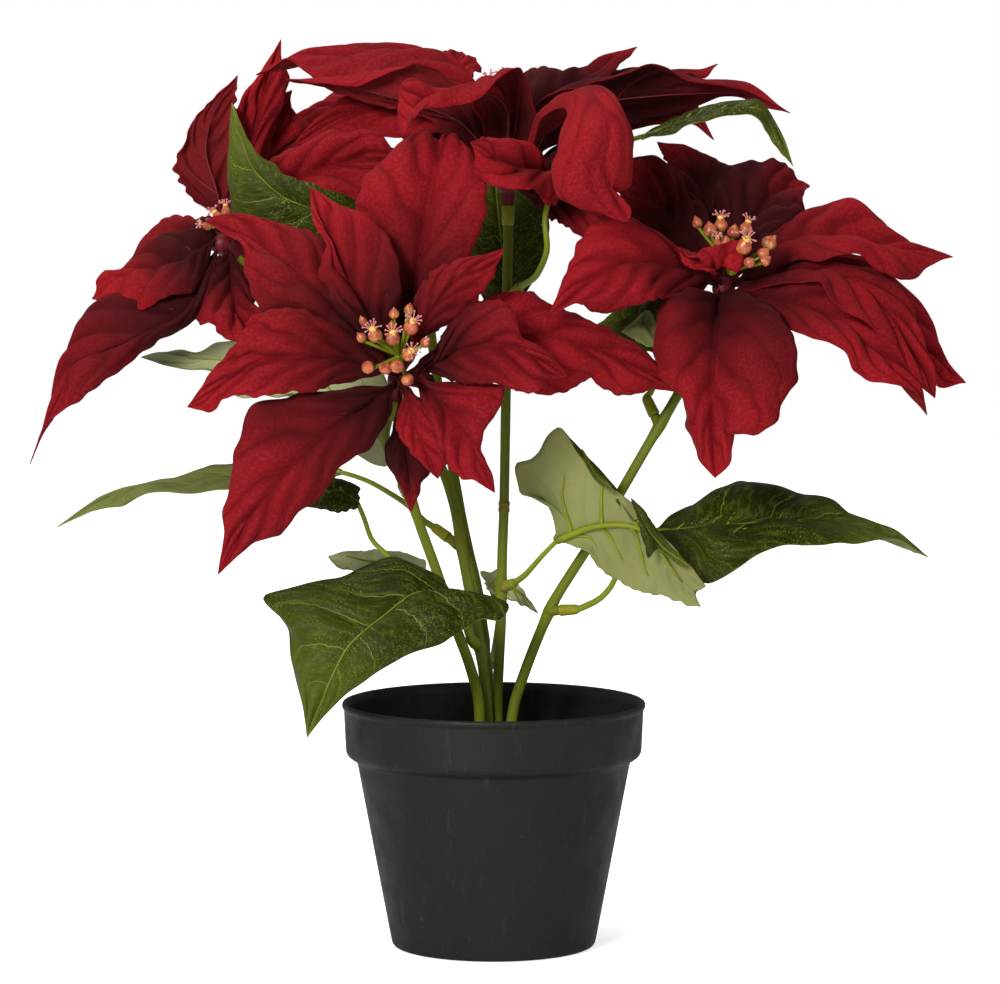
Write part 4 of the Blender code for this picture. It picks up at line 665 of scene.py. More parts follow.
# How a blade is formed. Rows and columns are its mesh. Veins is the number of side veins, and sweep is how
# far they run towards the tip. Arch is a share of the half width. Puff, ripple, warp, crease, trim, bow and
# curl are heights, and waves is the number of ripples. Dark is how far a bract's dark base reaches, which is
# partly the bract's airbrushed dye and partly painted shade; below 0 it shortens that base as painted light,
# and on a leaf it paints a paler top as painted sheen and a paler underside as painted light. Turned swaps
# the faces.
BRACT_LOOK = {
    "rows": 72, "columns": 32, "veins": 6.0, "sweep": 0.26, "arch": 0.13, "puff": 2.7, "ripple": 2.6,
    "waves": 2.6, "warp": 2.4, "crease": 1.5, "trim": 0.7, "bow": 0.0, "dark": 0.0, "curl": 1.6,
    "turned": False,
}
LEAF_LOOK = {
    "rows": 76, "columns": 32, "veins": 6.0, "sweep": 0.22, "arch": 0.09, "puff": 1.5, "ripple": 1.1,
    "waves": 3.0, "warp": 1.0, "crease": 0.8, "trim": 0.5, "bow": 0.0, "dark": 0.0, "curl": 0.9,
    "turned": False,
}
ROLL_LOOK = {
    **LEAF_LOOK, "rows": 30, "columns": 12, "arch": 0.25, "puff": 0.5, "ripple": 0.4, "warp": 0.4,
    "curl": 0.3,
}
# What a blade has otherwise than its kind.
# Dark values here darken bracts that lie in shade as painted shade, and values below 0 are painted light.
OTHER_LOOKS = {
    "centre front_right": {"bow": 4.5, "arch": 0.05, "puff": 0.9, "dark": -0.7},
    "centre front_left": {"bow": 2.0},
    "centre right_low": {"dark": 1.2},
    "centre right_tip": {"dark": 1.2},
    "centre rear": {"dark": 1.0},
    "centre right_hanging": {"dark": 0.6},
    "centre right_long": {"dark": 1.0},
    "centre right_rear": {"dark": 1.2},
    "centre left_long": {"dark": -0.3},
    "front top": {"dark": 0.2, "puff": 3.2},
    "front left": {"dark": 0.25},
    "front lower_left": {"dark": 0.3},
    "front top_left": {"dark": 0.6, "puff": 3.2},
    "front left_upper": {"dark": 0.5, "puff": 3.0},
    "front right": {"dark": 0.5, "puff": 3.4, "veins": 7.0},
    "front top_right": {"dark": 0.45, "puff": 2.8},
    "front down_small": {"dark": 1.1, "puff": 1.2, "ripple": 1.2},
    "front down": {"puff": 1.0, "ripple": 1.2},
    "front down_right": {"puff": 1.8, "ripple": 1.6},
    "front right_long": {"dark": -0.7},
    "right front_down": {"arch": 0.14, "puff": 1.2, "dark": 0.2},
    "right top": {"dark": 1.2},
    "right top_right": {"dark": 1.2},
    "right top_left": {"dark": 0.8},
    "left left_upper": {"dark": 0.5},
    "left left_lower": {"dark": 0.5},
    "left down": {"dark": 0.4},
    "left upright": {"turned": True, "dark": -0.2},
    "mid_left": {"turned": True, "waves": 5.0, "ripple": 1.6, "dark": -1.0},
    "right": {"puff": 3.4, "veins": 5.0, "arch": 0.12},
    "front": {"puff": 2.4},
    "small_left": {"puff": 0.5, "ripple": 0.4, "warp": 0.3, "veins": 4.0},
    "far_left": {"puff": 2.2, "dark": -0.8},
    "low_left_rear": {"turned": True, "dark": -1.0, "puff": 0.8},
    "low_right_rear": {"turned": True, "dark": -1.0, "puff": 0.5},
}

# Which heads of each bloom are open, in their order in HEADS.
OPEN_HEADS = {
    "front": (0, 1, 2, 3),
    "left": (0, 1, 4),
    "centre": (0, 1, 2),
    "right": (2, 4, 5, 7),
    "back": (0, 1, 4),
}
# Where a leaf's edge is rolled over so that its printed top shows from below, as blades.
ROLLED_EDGES = {
    "pale_right": (
        ([(631, 498, -50), (645, 525, -51), (664, 548, -49), (690, 567, -45)],
         [(645, 511, -50), (657, 529, -50), (669, 545, -49), (681, 556, -46)],
         [(636, 515, -52), (642, 532, -53), (647, 558, -51), (656, 549, -50), (668, 556, -49),
          (680, 566, -47)]),
        ([(582, 449, -42), (590, 466, -44), (600, 480, -46), (615, 491, -48)],
         [(591, 462, -43), (600, 474, -45), (608, 483, -47)],
         [(587, 467, -44), (595, 480, -46), (605, 488, -48)]),
    ),
    "middle_right": (
        ([(657, 350, -30), (650, 335, -32), (640, 327, -32), (621, 332, -28)],
         [(659, 332, -30), (648, 310, -28), (638, 317, -30), (629, 325, -29)],
         [(650, 347, -34), (640, 343, -34), (630, 337, -31)]),
    ),
}
# Radius shares of a head from its foot to its top.
OPEN_PROFILE = (0.2, 0.62, 0.85, 0.97, 1.0, 0.99, 0.93, 0.8, 0.62, 0.5, 0.3)
BUD_PROFILE = (0.2, 0.62, 0.86, 0.98, 1.0, 0.97, 0.87, 0.7, 0.45, 0.24, 0.1)
# Where a stem is joined from two moulded lengths.
JOINTS = {"centre": [(504, 510, 2)], "right": [(660, 425, -20)]}

# The studio. Each light has its place and size in metres, and its power in watts.
WORLD_LIGHT = 0.2
FLOOR_GLOW = 0.72
FLOOR_RADIUS_M = 2.5
FLOOR_DROP_M = 0.0002
GLOW_FROM_M = 0.15
GLOW_TO_M = 1.0
LIGHT_AIM_M = (0, 0, 0.2)
LIGHTS = {
    "key": ((-0.75, -1.9, 0.9), 0.5, 40),
    "fill": ((1.5, -1.3, 0.6), 1.0, 5),
    "top": ((-0.3, 0.3, 1.7), 0.8, 13),
}


# Points, curves and meshes
def place(point):
    """The world position, in millimetres, of a point of the front view at its depth."""
    across, down, depth = point[:3]
    right = (across - VIEW_CENTRE[0]) / VIEW_FOCUS
    up = (VIEW_CENTRE[1] - down) / VIEW_FOCUS
    ahead = math.cos(EYE_PITCH) + up * math.sin(EYE_PITCH)
    rise = up * math.cos(EYE_PITCH) - math.sin(EYE_PITCH)
    reach = (depth - EYE[1]) / ahead
    return np.array((EYE[0] + reach * right, depth, EYE[2] + reach * rise))


def unit(vector):
    return vector / max(np.linalg.norm(vector), 1e-9)


def travelled(points):
    """How far along a line of points each of them lies."""
    return np.r_[0, np.cumsum(np.linalg.norm(np.diff(points, axis=0), axis=1))]


def resample(points, count):
    """Evenly spaced points on a taut curve through the given ones, count steps in all."""
    points = np.asarray(points, float)
    padded = np.vstack([2 * points[0] - points[1], points, 2 * points[-1] - points[-2]])
    tautness = 0.4
    dense = []
    for before, start, end, after in zip(padded, padded[1:], padded[2:], padded[3:]):
        leaving = tautness * (end - before)
        arriving = tautness * (after - start)
        for t in np.linspace(0, 1, 12, endpoint=False):
            dense.append((2 * t**3 - 3 * t**2 + 1) * start + (t**3 - 2 * t**2 + t) * leaving
                         + (3 * t**2 - 2 * t**3) * end + (t**3 - t**2) * arriving)
    dense = np.array(dense + [points[-1]])
    travel = travelled(dense)
    wanted = np.linspace(0, travel[-1], count + 1)
    return np.column_stack([np.interp(wanted, travel, dense[:, axis]) for axis in range(3)])


def waves(rng, u, v, along, across, terms=5):
    """Smooth seeded noise, about -1 to 1, with so many waves along and across a blade."""
    total = np.zeros(np.broadcast(u, v).shape)
    for _ in range(terms):
        total += np.sin(math.tau * (rng.normal() * along * u + rng.normal() * across * v + rng.random()))
    return total / math.sqrt(terms)


class Shape:
    """Gathers sheets and tubes into one mesh, with their maps and a tint for every point."""

    def __init__(self):
        self.points, self.faces, self.slots = [], [], []
        self.maps = {"Place": [], "Veins": [], "Grain": []}
        self.tints = []
        self.count = 0

    def add(self, points, faces, slot=0, tint=0.0, **maps):
        points = np.asarray(points).reshape(-1, 3)
        self.points.append(points)
        self.faces += [tuple(int(k) + self.count for k in face) for face in faces]
        self.slots += [slot] * len(faces)
        self.tints.append(np.broadcast_to(np.asarray(tint, float).reshape(-1), len(points)))
        for name, values in self.maps.items():
            values.append(np.asarray(maps.get(name.lower(), np.zeros((len(points), 2)))).reshape(-1, 2))
        self.count += len(points)

    def make(self, name, materials, thickness=0.0):
        mesh = bpy.data.meshes.new(name)
        mesh.from_pydata((np.vstack(self.points) * MM).tolist(), [], self.faces)
        for material in materials:
            mesh.materials.append(material)
        mesh.polygons.foreach_set("material_index", self.slots)
        corner = np.empty(len(mesh.loops), int)
        mesh.loops.foreach_get("vertex_index", corner)
        for map_name, values in self.maps.items():
            layer = mesh.uv_layers.new(name=map_name)
            layer.data.foreach_set("uv", np.vstack(values)[corner].astype(np.float32).ravel())
        tint = mesh.attributes.new("tint", "FLOAT", "POINT")
        tint.data.foreach_set("value", np.concatenate(self.tints).astype(np.float32))
        mesh.shade_smooth()
        mesh.update()
        piece = bpy.data.objects.new(name, mesh)
        bpy.context.scene.collection.objects.link(piece)
        if thickness:
            solid = piece.modifiers.new("thickness", "SOLIDIFY")
            solid.thickness = thickness * MM
            solid.offset = 0.0
            solid.material_offset = 1
            solid.material_offset_rim = 2
            apply_modifiers(piece)
        return piece


def apply_modifiers(piece):
    bpy.context.view_layer.update()
    mesh = bpy.data.meshes.new_from_object(piece.evaluated_get(bpy.context.evaluated_depsgraph_get()))
    piece.modifiers.clear()
    piece.data = mesh


def dress(piece, slot, *nodes):
    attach(piece, "root")
    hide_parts(*nodes)


def sweep(shape, points, radii, sides=12, slot=0, tint=0.0):
    """Adds a tube with closed ends along the points, with a radius at each."""
    points = np.asarray(points, float)
    radii = np.broadcast_to(np.asarray(radii, float), len(points))
    way = np.gradient(points, axis=0)
    way /= np.maximum(np.linalg.norm(way, axis=1, keepdims=True), 1e-9)
    side = np.cross(way[0], (0, 0, 1) if abs(way[0][2]) < 0.9 else (1, 0, 0))
    rings = []
    angles = np.linspace(0, math.tau, sides, endpoint=False)
    for point, forward, radius in zip(points, way, radii):
        side = unit(side - forward * side.dot(forward))
        other = np.cross(forward, side)
        rings.append(point + radius * (np.cos(angles)[:, None] * side + np.sin(angles)[:, None] * other))
    count = len(points)
    faces = []
    for i in range(count - 1):
        for j in range(sides):
            k = (j + 1) % sides
            faces.append((i * sides + j, i * sides + k, (i + 1) * sides + k, (i + 1) * sides + j))
    faces.append(tuple(range(sides))[::-1])
    faces.append(tuple((count - 1) * sides + j for j in range(sides)))
    travel = travelled(points)
    lengths = np.repeat(travel, sides)
    turns = np.tile(angles / math.tau, count)
    grain = np.column_stack([turns * math.tau * np.repeat(radii, sides), lengths]) / 100
    spot = np.column_stack([turns, np.repeat(travel / max(travel[-1], 1e-9), sides)])
    tints = np.repeat(np.broadcast_to(np.asarray(tint, float), count), sides)
    shape.add(np.vstack(rings), faces, slot, tints, grain=grain, place=spot)


def ball(shape, centre, radius, axis, stretch=1.0, rings=8, sides=12, slot=0, tint=0.0, profile=None):
    """Adds a ball or, with a profile of radius shares, a turned form, along an axis."""
    axis = unit(np.asarray(axis, float))
    angles = np.linspace(-math.pi / 2, math.pi / 2, rings + 1)
    heights = np.sin(angles) * radius * stretch
    widths = np.maximum(np.cos(angles) * radius, radius * 0.02)
    if profile:
        widths = np.interp(np.linspace(0, 1, rings + 1), np.linspace(0, 1, len(profile)), profile) * radius
        heights = np.linspace(-1, 1, rings + 1) * radius * stretch
    points = [centre + axis * height for height in heights]
    sweep(shape, points, widths, sides, slot, tint)


def blade_rails(root, blade, look):
    """The middle and both edges of a blade, from its root to its tip, with a point for each row."""
    rows = look["rows"]
    middle, left, right = ([place(p) for p in rail] for rail in blade)
    if look["turned"]:
        left, right = right, left
    start = middle[0]
    rails = [resample([root, *middle], rows)]
    for edge in (left, right):
        claw = unit(edge[0] - start) * CLAW_HALF_WIDTH
        rails.append(resample([root + claw * CLAW_ROOT_SHARE, start + claw, *edge, middle[-1]], rows))
    return rails


def blade_surface(root, blade, rng, look):
    """A blade's fine mid-surface with its maps: arched halves, sunk veins, waved and trimmed edges."""
    rows, columns = look["rows"], look["columns"]
    rails = blade_rails(root, blade, look)
    u = np.linspace(0, 1, rows + 1)[:, None]
    v = np.linspace(-1, 1, columns + 1)[None, :]
    away = np.abs(v)
    edge = np.where(v[..., None] < 0, rails[1][:, None], rails[2][:, None])
    middle_line = rails[0][:, None]
    reach = edge - middle_line
    width = np.linalg.norm(reach, axis=2)
    length = travelled(rails[0])[-1]
    taper = np.clip(width / FULL_RELIEF_WIDTH, 0, 1) * np.clip((1 - u) * 12, 0, 1) * np.clip(u * 5, 0, 1)
    trim = 1 + taper * away**3 * look["trim"] * waves(rng, u, np.sign(v), 9, 1) / np.maximum(width, 4)
    grid = middle_line + reach * away[..., None] * trim[..., None]
    along = np.gradient(grid, axis=0)
    across = np.gradient(grid, axis=1)
    normal = np.cross(across, along)
    normal /= np.maximum(np.linalg.norm(normal, axis=2, keepdims=True), 1e-9)
    normal = smooth_rows(normal, 3)
    veins = look["veins"]
    phase = veins * (u - look["sweep"] * away**1.2) + np.where(v < 0, 0.0, VEIN_SHIFT)
    phase = phase + 0.15 * waves(rng, u, v, 1.5, 1)
    ridge = np.abs(np.sin(math.pi * phase)) ** 0.8 - 0.55
    arch = look["arch"] * width * np.sin(math.pi * np.minimum(away * 1.05, 1)) ** 0.9
    puff = look["puff"] * ridge * np.clip(away * 5, 0, 1) * np.clip((1.05 - away) * 2.2, 0, 1)
    ripple = look["ripple"] * away**2.5 * waves(rng, u, np.sign(v) * 2, look["waves"], 0.7, 4)
    warp = look["warp"] * waves(rng, u, v, 0.9, 0.35, 4) * np.sin(math.pi * u) ** 0.7
    crease = -look["crease"] * np.exp(-((away * width) / CREASE_WIDTH) ** 2)
    rolled = np.clip((away - CURL_FROM) / (1 - CURL_FROM), 0, 1) ** 2
    curl = -look["curl"] * rolled * (1 + 0.9 * waves(rng, u, np.sign(v), 2, 1))
    lift = (arch + puff + ripple + crease + curl) * taper
    lift = lift + warp * np.clip(u * 4, 0, 1) * np.clip((1 - u) * 6, 0, 1)
    lift += look["bow"] * (1 - away**2) * np.sin(math.pi * u)
    grid = grid + normal * lift[..., None]
    maps = {
        "tint": np.full((rows + 1, columns + 1, 1), look["dark"]),
        "place": np.stack(np.broadcast_arrays((v + 1) / 2, u), axis=2),
        "veins": np.stack(np.broadcast_arrays((v + 1) / 2, (phase + 2) / 16), axis=2),
        "grain": np.stack(np.broadcast_arrays(v * width / 100, u * length / 100), axis=2),
    }
    return grid, normal, maps


def smooth_rows(field, times):
    """Unit vectors on a grid, each blended so many times with its neighbours."""
    for _ in range(times):
        padded = np.concatenate([field[:1], field, field[-1:]])
        field = (padded[:-2] + 2 * padded[1:-1] + padded[2:]) / 4
        padded = np.concatenate([field[:, :1], field, field[:, -1:]], axis=1)
        field = (padded[:, :-2] + 2 * padded[:, 1:-1] + padded[:, 2:]) / 4
    return field / np.maximum(np.linalg.norm(field, axis=2, keepdims=True), 1e-9)


def add_blade(shape, grid, maps):
    """Adds a blade's mid-surface, its last row drawn together at the tip, with its maps."""
    rows, columns = grid.shape[0] - 1, grid.shape[1] - 1
    across = columns + 1

    def flat(field):
        return np.vstack([field[:-1].reshape(-1, field.shape[2]), field[-1, columns // 2]])

    tip = rows * across
    faces = []
    for i in range(rows - 1):
        for j in range(columns):
            k = i * across + j
            faces.append((k, k + 1, k + across + 1, k + across))
    for j in range(columns):
        k = (rows - 1) * across + j
        faces.append((k, k + 1, tip))
    shape.add(flat(grid), faces, **{name: flat(values) for name, values in maps.items()})


def surface_point(grid, normal, u, v, drop):
    """The point so far below a blade's surface at u along it and v across it."""
    row = u * (grid.shape[0] - 1)
    column = (v + 1) / 2 * (grid.shape[1] - 1)
    i, j = min(int(row), grid.shape[0] - 2), min(int(column), grid.shape[1] - 2)
    a, b = row - i, column - j
    corners = ((i, j, (1 - a) * (1 - b)), (i, j + 1, (1 - a) * b),
               (i + 1, j, a * (1 - b)), (i + 1, j + 1, a * b))
    spot = sum(grid[m, n] * share for m, n, share in corners)
    return spot - normal[i, j] * drop


def coarse_course(name):
    """Widely spaced points along a stem, and its length."""
    points = [place(p) for p in STEMS[name]]
    length = travelled(points)[-1]
    return resample(points, round(length / STEM_COARSE_STEP)), length


def stem_course(name):
    coarse, length = coarse_course(name)
    return resample(coarse, round(length / STEM_STEP))


def peg_line(leaf):
    """Where a leaf's peg leaves its stem, and its way out."""
    start = place(leaf[1])
    return start, unit(place(leaf[2]) - start)


def hub_of(name):
    """The stem's end, its way, and the centre of the hub that the bracts grow from."""
    coarse, _ = coarse_course(name)
    way = unit(coarse[-1] - coarse[-2])
    return coarse[-1], way, coarse[-1] + way * (COLLAR_LENGTH + GAP)


# Materials
class Graph:
    """Short calls for building the nodes of one material."""

    def __init__(self, name, **constants):
        self.material = bpy.data.materials.new(name)
        self.material.use_nodes = True
        self.tree = self.material.node_tree
        self.shader = self.tree.nodes["Principled BSDF"]
        for socket, value in constants.items():
            self.shader.inputs[socket.replace("_", " ")].default_value = value

    def put(self, socket, value):
        if isinstance(value, bpy.types.NodeSocket):
            self.tree.links.new(value, socket)
        elif isinstance(value, tuple) and len(value) == 3 and len(socket.default_value) == 4:
            socket.default_value = (*value, 1)
        else:
            socket.default_value = value

    def node(self, kind, settings, inputs):
        node = self.tree.nodes.new("ShaderNode" + kind)
        for key, value in settings.items():
            setattr(node, key, value)
        for key, value in inputs.items():
            self.put(node.inputs[key], value)
        return node

    def map(self, name):
        return self.node("UVMap", {"uv_map": name}, {}).outputs["UV"]

    def part(self, vector, axis):
        return self.node("SeparateXYZ", {}, {"Vector": vector}).outputs[axis]

    def place(self):
        return self.node("TexCoord", {}, {}).outputs["Object"]

    def tint(self):
        return self.node("Attribute", {"attribute_name": "tint"}, {}).outputs["Fac"]

    def noise(self, vector, scale, detail=3.0, roughness=0.55):
        inputs = {"Vector": vector, "Scale": scale, "Detail": detail, "Roughness": roughness}
        return self.node("TexNoise", {}, inputs).outputs["Fac"]

    def cells(self, vector, scale, feature="DISTANCE_TO_EDGE"):
        inputs = {"Vector": vector, "Scale": scale}
        return self.node("TexVoronoi", {"feature": feature}, inputs).outputs["Distance"]

    def stretch(self, vector, scale):
        return self.node("Mapping", {}, {"Vector": vector, "Scale": scale}).outputs["Vector"]

    def math(self, operation, *values):
        inputs = dict(enumerate(values))
        return self.node("Math", {"operation": operation}, inputs).outputs["Value"]

    def times(self, one, other):
        return self.math("MULTIPLY", one, other)

    def ease(self, value, low, high, start=0.0, end=1.0):
        """A smooth step of value from low to high, as a share from start to end."""
        inputs = {"Value": value, "From Min": low, "From Max": high, "To Min": start, "To Max": end}
        return self.node("MapRange", {"interpolation_type": "SMOOTHSTEP"}, inputs).outputs["Result"]

    def mix(self, share, one, other):
        node = self.node("Mix", {"data_type": "RGBA"}, {})
        self.put(node.inputs[0], share)
        self.put(node.inputs[6], one)
        self.put(node.inputs[7], other)
        return node.outputs[2]

    def bump(self, height, distance, strength=1.0, normal=None):
        inputs = {"Height": height, "Distance": distance, "Strength": strength}
        if normal:
            inputs["Normal"] = normal
        return self.node("Bump", {}, inputs).outputs["Normal"]

    def finish(self, colour, roughness=None, normal=None):
        self.put(self.shader.inputs["Base Color"], colour)
        if roughness is not None:
            self.put(self.shader.inputs["Roughness"], roughness)
        if normal is not None:
            self.put(self.shader.inputs["Normal"], normal)
        return self.material

    def vein_line(self, width):
        """1 on a side vein of a blade, falling to 0 beside it, with the veins thinner outward."""
        veins = self.map("Veins")
        wobble = self.times(self.noise(self.map("Grain"), 26.0), 0.010)
        phase = self.times(self.math("ADD", self.part(veins, "Y"), wobble), 16.0)
        distance = self.math("PINGPONG", phase, 0.5)
        side = self.math("ABSOLUTE", self.math("MULTIPLY_ADD", self.part(veins, "X"), 2.0, -1.0))
        reach = self.ease(side, 0.05, 1.0, width, width * 0.25)
        return self.math("SUBTRACT", 1.0, self.ease(distance, 0.0, reach))

    def middle_line(self, width_mm):
        """1 on the midrib of a blade and 0 beside it."""
        across = self.math("ABSOLUTE", self.part(self.map("Grain"), "X"))
        return self.math("SUBTRACT", 1.0, self.ease(across, 0.0, width_mm / 100))


def bract_material(name, under):
    """Red velvet, dark at the base from dye and painted shade, with painted shade in the vein grooves, and
    dusty underneath.
    """
    g = Graph(name, Roughness=0.75, Sheen_Weight=0.08, Sheen_Roughness=0.4, Sheen_Tint=(1.0, 0.2, 0.2, 1.0),
              Specular_IOR_Level=0.05)
    spot = g.place()
    grain = g.map("Grain")
    along = g.part(g.map("Place"), "Y")
    broad = g.ease(g.noise(spot, 24.0, 1.0), 0.3, 0.75, 0.25, 0.85)
    colour = g.mix(broad, BRACT_DEEP, BRACT_BRIGHT)
    fine = g.noise(spot, 900.0, 4.0, 0.65)
    colour = g.mix(g.ease(fine, 0.35, 0.75, 0.0, 0.3), colour, BRACT_PALE)
    streak = g.noise(g.stretch(grain, (60.0, 9.0, 1.0)), 3.0, 3.0)
    colour = g.mix(g.ease(streak, 0.45, 0.8, 0.0, 0.25), colour, BRACT_DEEP)
    # Painted shade in the grooves along the veins.
    painted_furrow_shade = g.times(g.vein_line(0.45), g.ease(g.noise(spot, 32.0, 2.0), 0.3, 0.65, 0.15, 0.6))
    colour = g.mix(painted_furrow_shade, colour, BRACT_PAINTED_FURROW_SHADE)
    lines = g.math("MAXIMUM", g.times(g.vein_line(0.12), 0.22), g.times(g.middle_line(1.2), 0.35))
    colour = g.mix(lines, colour, BRACT_VEIN)
    if under:
        colour = g.mix(0.6, colour, BRACT_DUSTY)
    # Darker towards the base: partly the bract's airbrushed dye, partly painted shade that the tint deepens.
    spread = g.times(g.noise(spot, 40.0, 2.0), 0.3)
    reach = g.math("SUBTRACT", g.math("ADD", along, spread), g.times(g.tint(), 0.45))
    colour = g.mix(g.ease(reach, 0.20, 0.78, 0.97, 0.0), colour, BRACT_BASE_DYE_AND_PAINTED_SHADE)
    weave = g.noise(grain, 900.0, 2.0)
    folds = g.noise(spot, 85.0, 2.0, 0.45)
    normal = g.bump(folds, 0.0024, 0.5)
    normal = g.bump(lines, 0.0008, -0.5, normal)
    normal = g.bump(weave, 0.00035, 0.45, normal)
    return g.finish(colour, normal=normal)


def bract_edge_material():
    g = Graph("bract_cut_edge", Roughness=0.9, Specular_IOR_Level=0.05)
    fray = g.noise(g.place(), 900.0, 2.0)
    colour = g.mix(g.ease(fray, 0.35, 0.7), BRACT_DEEP, BRACT_BRIGHT)
    return g.finish(colour, normal=g.bump(fray, 0.0003, 0.6))


def leaf_top_material():
    """Printed green, pale veins, a net between them, speckles, painted light towards the tip and painted
    sheen at tint below 0.
    """
    g = Graph("leaf_printed_top", Roughness=0.42, Specular_IOR_Level=0.08)
    spot = g.place()
    grain = g.map("Grain")
    veins = g.map("Veins")
    broad = g.ease(g.noise(spot, 26.0, 3.0), 0.35, 0.7)
    colour = g.mix(broad, LEAF_DEEP, LEAF_GREEN)
    streak = g.noise(g.stretch(veins, (2.0, 26.0, 1.0)), 5.0, 3.0)
    colour = g.mix(g.ease(streak, 0.45, 0.75, 0.0, 0.45), colour, LEAF_PALE_GREEN_AND_PAINTED_LIGHT)
    # Painted light: the leaf lightens towards its tip.
    colour = g.mix(g.ease(g.part(g.map("Place"), "Y"), 0.45, 0.95, 0.0, 0.5), colour, LEAF_PALE_GREEN_AND_PAINTED_LIGHT)
    # Painted sheen: a paler sage on leaf tops whose tint is below 0.
    colour = g.mix(g.ease(g.tint(), -1.0, 0.0, 0.6, 0.0), colour, SAGE)
    speckle = g.ease(g.noise(grain, 150.0, 2.0, 0.7), 0.60, 0.66)
    patch = g.ease(g.noise(spot, 45.0, 2.0), 0.36, 0.6, 0.15, 1.0)
    colour = g.mix(g.times(g.times(speckle, patch), 0.8), colour, LEAF_VEIN)
    net = g.math("SUBTRACT", 1.0, g.ease(g.cells(grain, 48.0), 0.0, 0.05))
    fade = g.ease(g.noise(spot, 80.0, 2.0), 0.45, 0.7)
    colour = g.mix(g.times(g.times(net, fade), 0.25), colour, LEAF_VEIN)
    lines = g.math("MAXIMUM", g.times(g.vein_line(0.024), 0.8), g.middle_line(0.42))
    colour = g.mix(g.times(lines, 0.75), colour, LEAF_VEIN)
    normal = g.bump(g.noise(spot, 240.0, 3.0), 0.0012, 0.35)
    normal = g.bump(lines, 0.0007, -0.7, normal)
    normal = g.bump(g.noise(grain, 700.0, 2.0), 0.0003, 0.35, normal)
    roughness = g.ease(g.noise(spot, 60.0, 2.0), 0.3, 0.7, 0.3, 0.4)
    return g.finish(colour, roughness, normal)


def leaf_under_material():
    g = Graph("leaf_pale_underside", Roughness=0.75, Sheen_Weight=0.15, Specular_IOR_Level=0.3)
    spot = g.place()
    grain = g.map("Grain")
    colour = g.mix(g.ease(g.noise(spot, 30.0, 3.0), 0.35, 0.7), SAGE, SAGE_PALE)
    net = g.math("SUBTRACT", 1.0, g.ease(g.cells(grain, 30.0), 0.0, 0.05))
    lines = g.math("MAXIMUM", g.times(net, 0.22), g.times(g.vein_line(0.05), 0.5))
    colour = g.mix(lines, colour, SAGE_VEIN)
    # Painted light: paler undersides on leaves whose tint is below 0.
    colour = g.mix(g.ease(g.tint(), -1.0, 0.0, 0.8, 0.0), colour, SAGE_PAINTED_LIGHT)
    rim = g.ease(g.noise(spot, 70.0, 2.0), 0.5, 0.75, 0.0, 0.3)
    colour = g.mix(rim, colour, SAGE_WARM)
    normal = g.bump(g.noise(grain, 800.0, 2.0), 0.0003, 0.5)
    return g.finish(colour, normal=normal)


def leaf_edge_material():
    g = Graph("leaf_cut_edge", Roughness=0.8)
    return g.finish(g.mix(g.noise(g.place(), 300.0), LEAF_PALE_GREEN_AND_PAINTED_LIGHT, SAGE))


def stem_material(name, tone, other):
    g = Graph(name, Roughness=0.38, Specular_IOR_Level=0.18, Subsurface_Weight=0.12,
              Subsurface_Radius=(1.0, 1.0, 0.3), Subsurface_Scale=0.002)
    spot = g.place()
    grain = g.map("Grain")
    colour = g.mix(g.ease(g.noise(spot, 34.0, 3.0), 0.35, 0.68), tone, other)
    streak = g.noise(g.stretch(grain, (90.0, 4.0, 1.0)), 4.0, 3.0)
    colour = g.mix(g.ease(streak, 0.4, 0.8, 0.0, 0.35), colour, other)
    colour = g.mix(g.times(g.tint(), g.ease(g.noise(spot, 120.0, 2.0), 0.3, 0.65)), colour, STEM_WARM)
    normal = g.bump(g.noise(spot, 500.0, 3.0), 0.0005, 0.3)
    normal = g.bump(streak, 0.0006, 0.25, normal)
    roughness = g.ease(g.noise(spot, 150.0, 2.0), 0.3, 0.7, 0.3, 0.48)
    return g.finish(colour, roughness, normal)


def head_material():
    g = Graph("flower_head_plastic", Roughness=0.32, Subsurface_Weight=0.15,
              Subsurface_Radius=(1.0, 0.5, 0.3), Subsurface_Scale=0.0015)
    spot = g.place()
    along = g.part(g.map("Place"), "Y")
    ripe = g.math("ADD", along, g.times(g.tint(), -0.5))
    colour = g.mix(g.ease(ripe, -0.35, 0.45), HEAD_GREEN, HEAD_ORANGE)
    colour = g.mix(g.ease(g.noise(spot, 330.0, 3.0), 0.42, 0.62, 0.0, 0.85), colour, HEAD_PINK)
    colour = g.mix(g.ease(g.noise(spot, 520.0, 3.0, 0.6), 0.52, 0.66, 0.0, 0.8), colour, HEAD_YELLOW)
    colour = g.mix(g.ease(along, 0.84, 0.98, 0.0, 0.85), colour, HEAD_TIP)
    normal = g.bump(g.noise(spot, 900.0, 3.0), 0.0004, 0.4)
    return g.finish(colour, normal=normal)


def plain_grain_material(name, tone, other, roughness=0.6, scale=600.0):
    g = Graph(name, Roughness=roughness, Specular_IOR_Level=0.25)
    spots = g.noise(g.place(), scale, 3.0)
    return g.finish(g.mix(spots, tone, other), normal=g.bump(spots, 0.0003, 0.5))


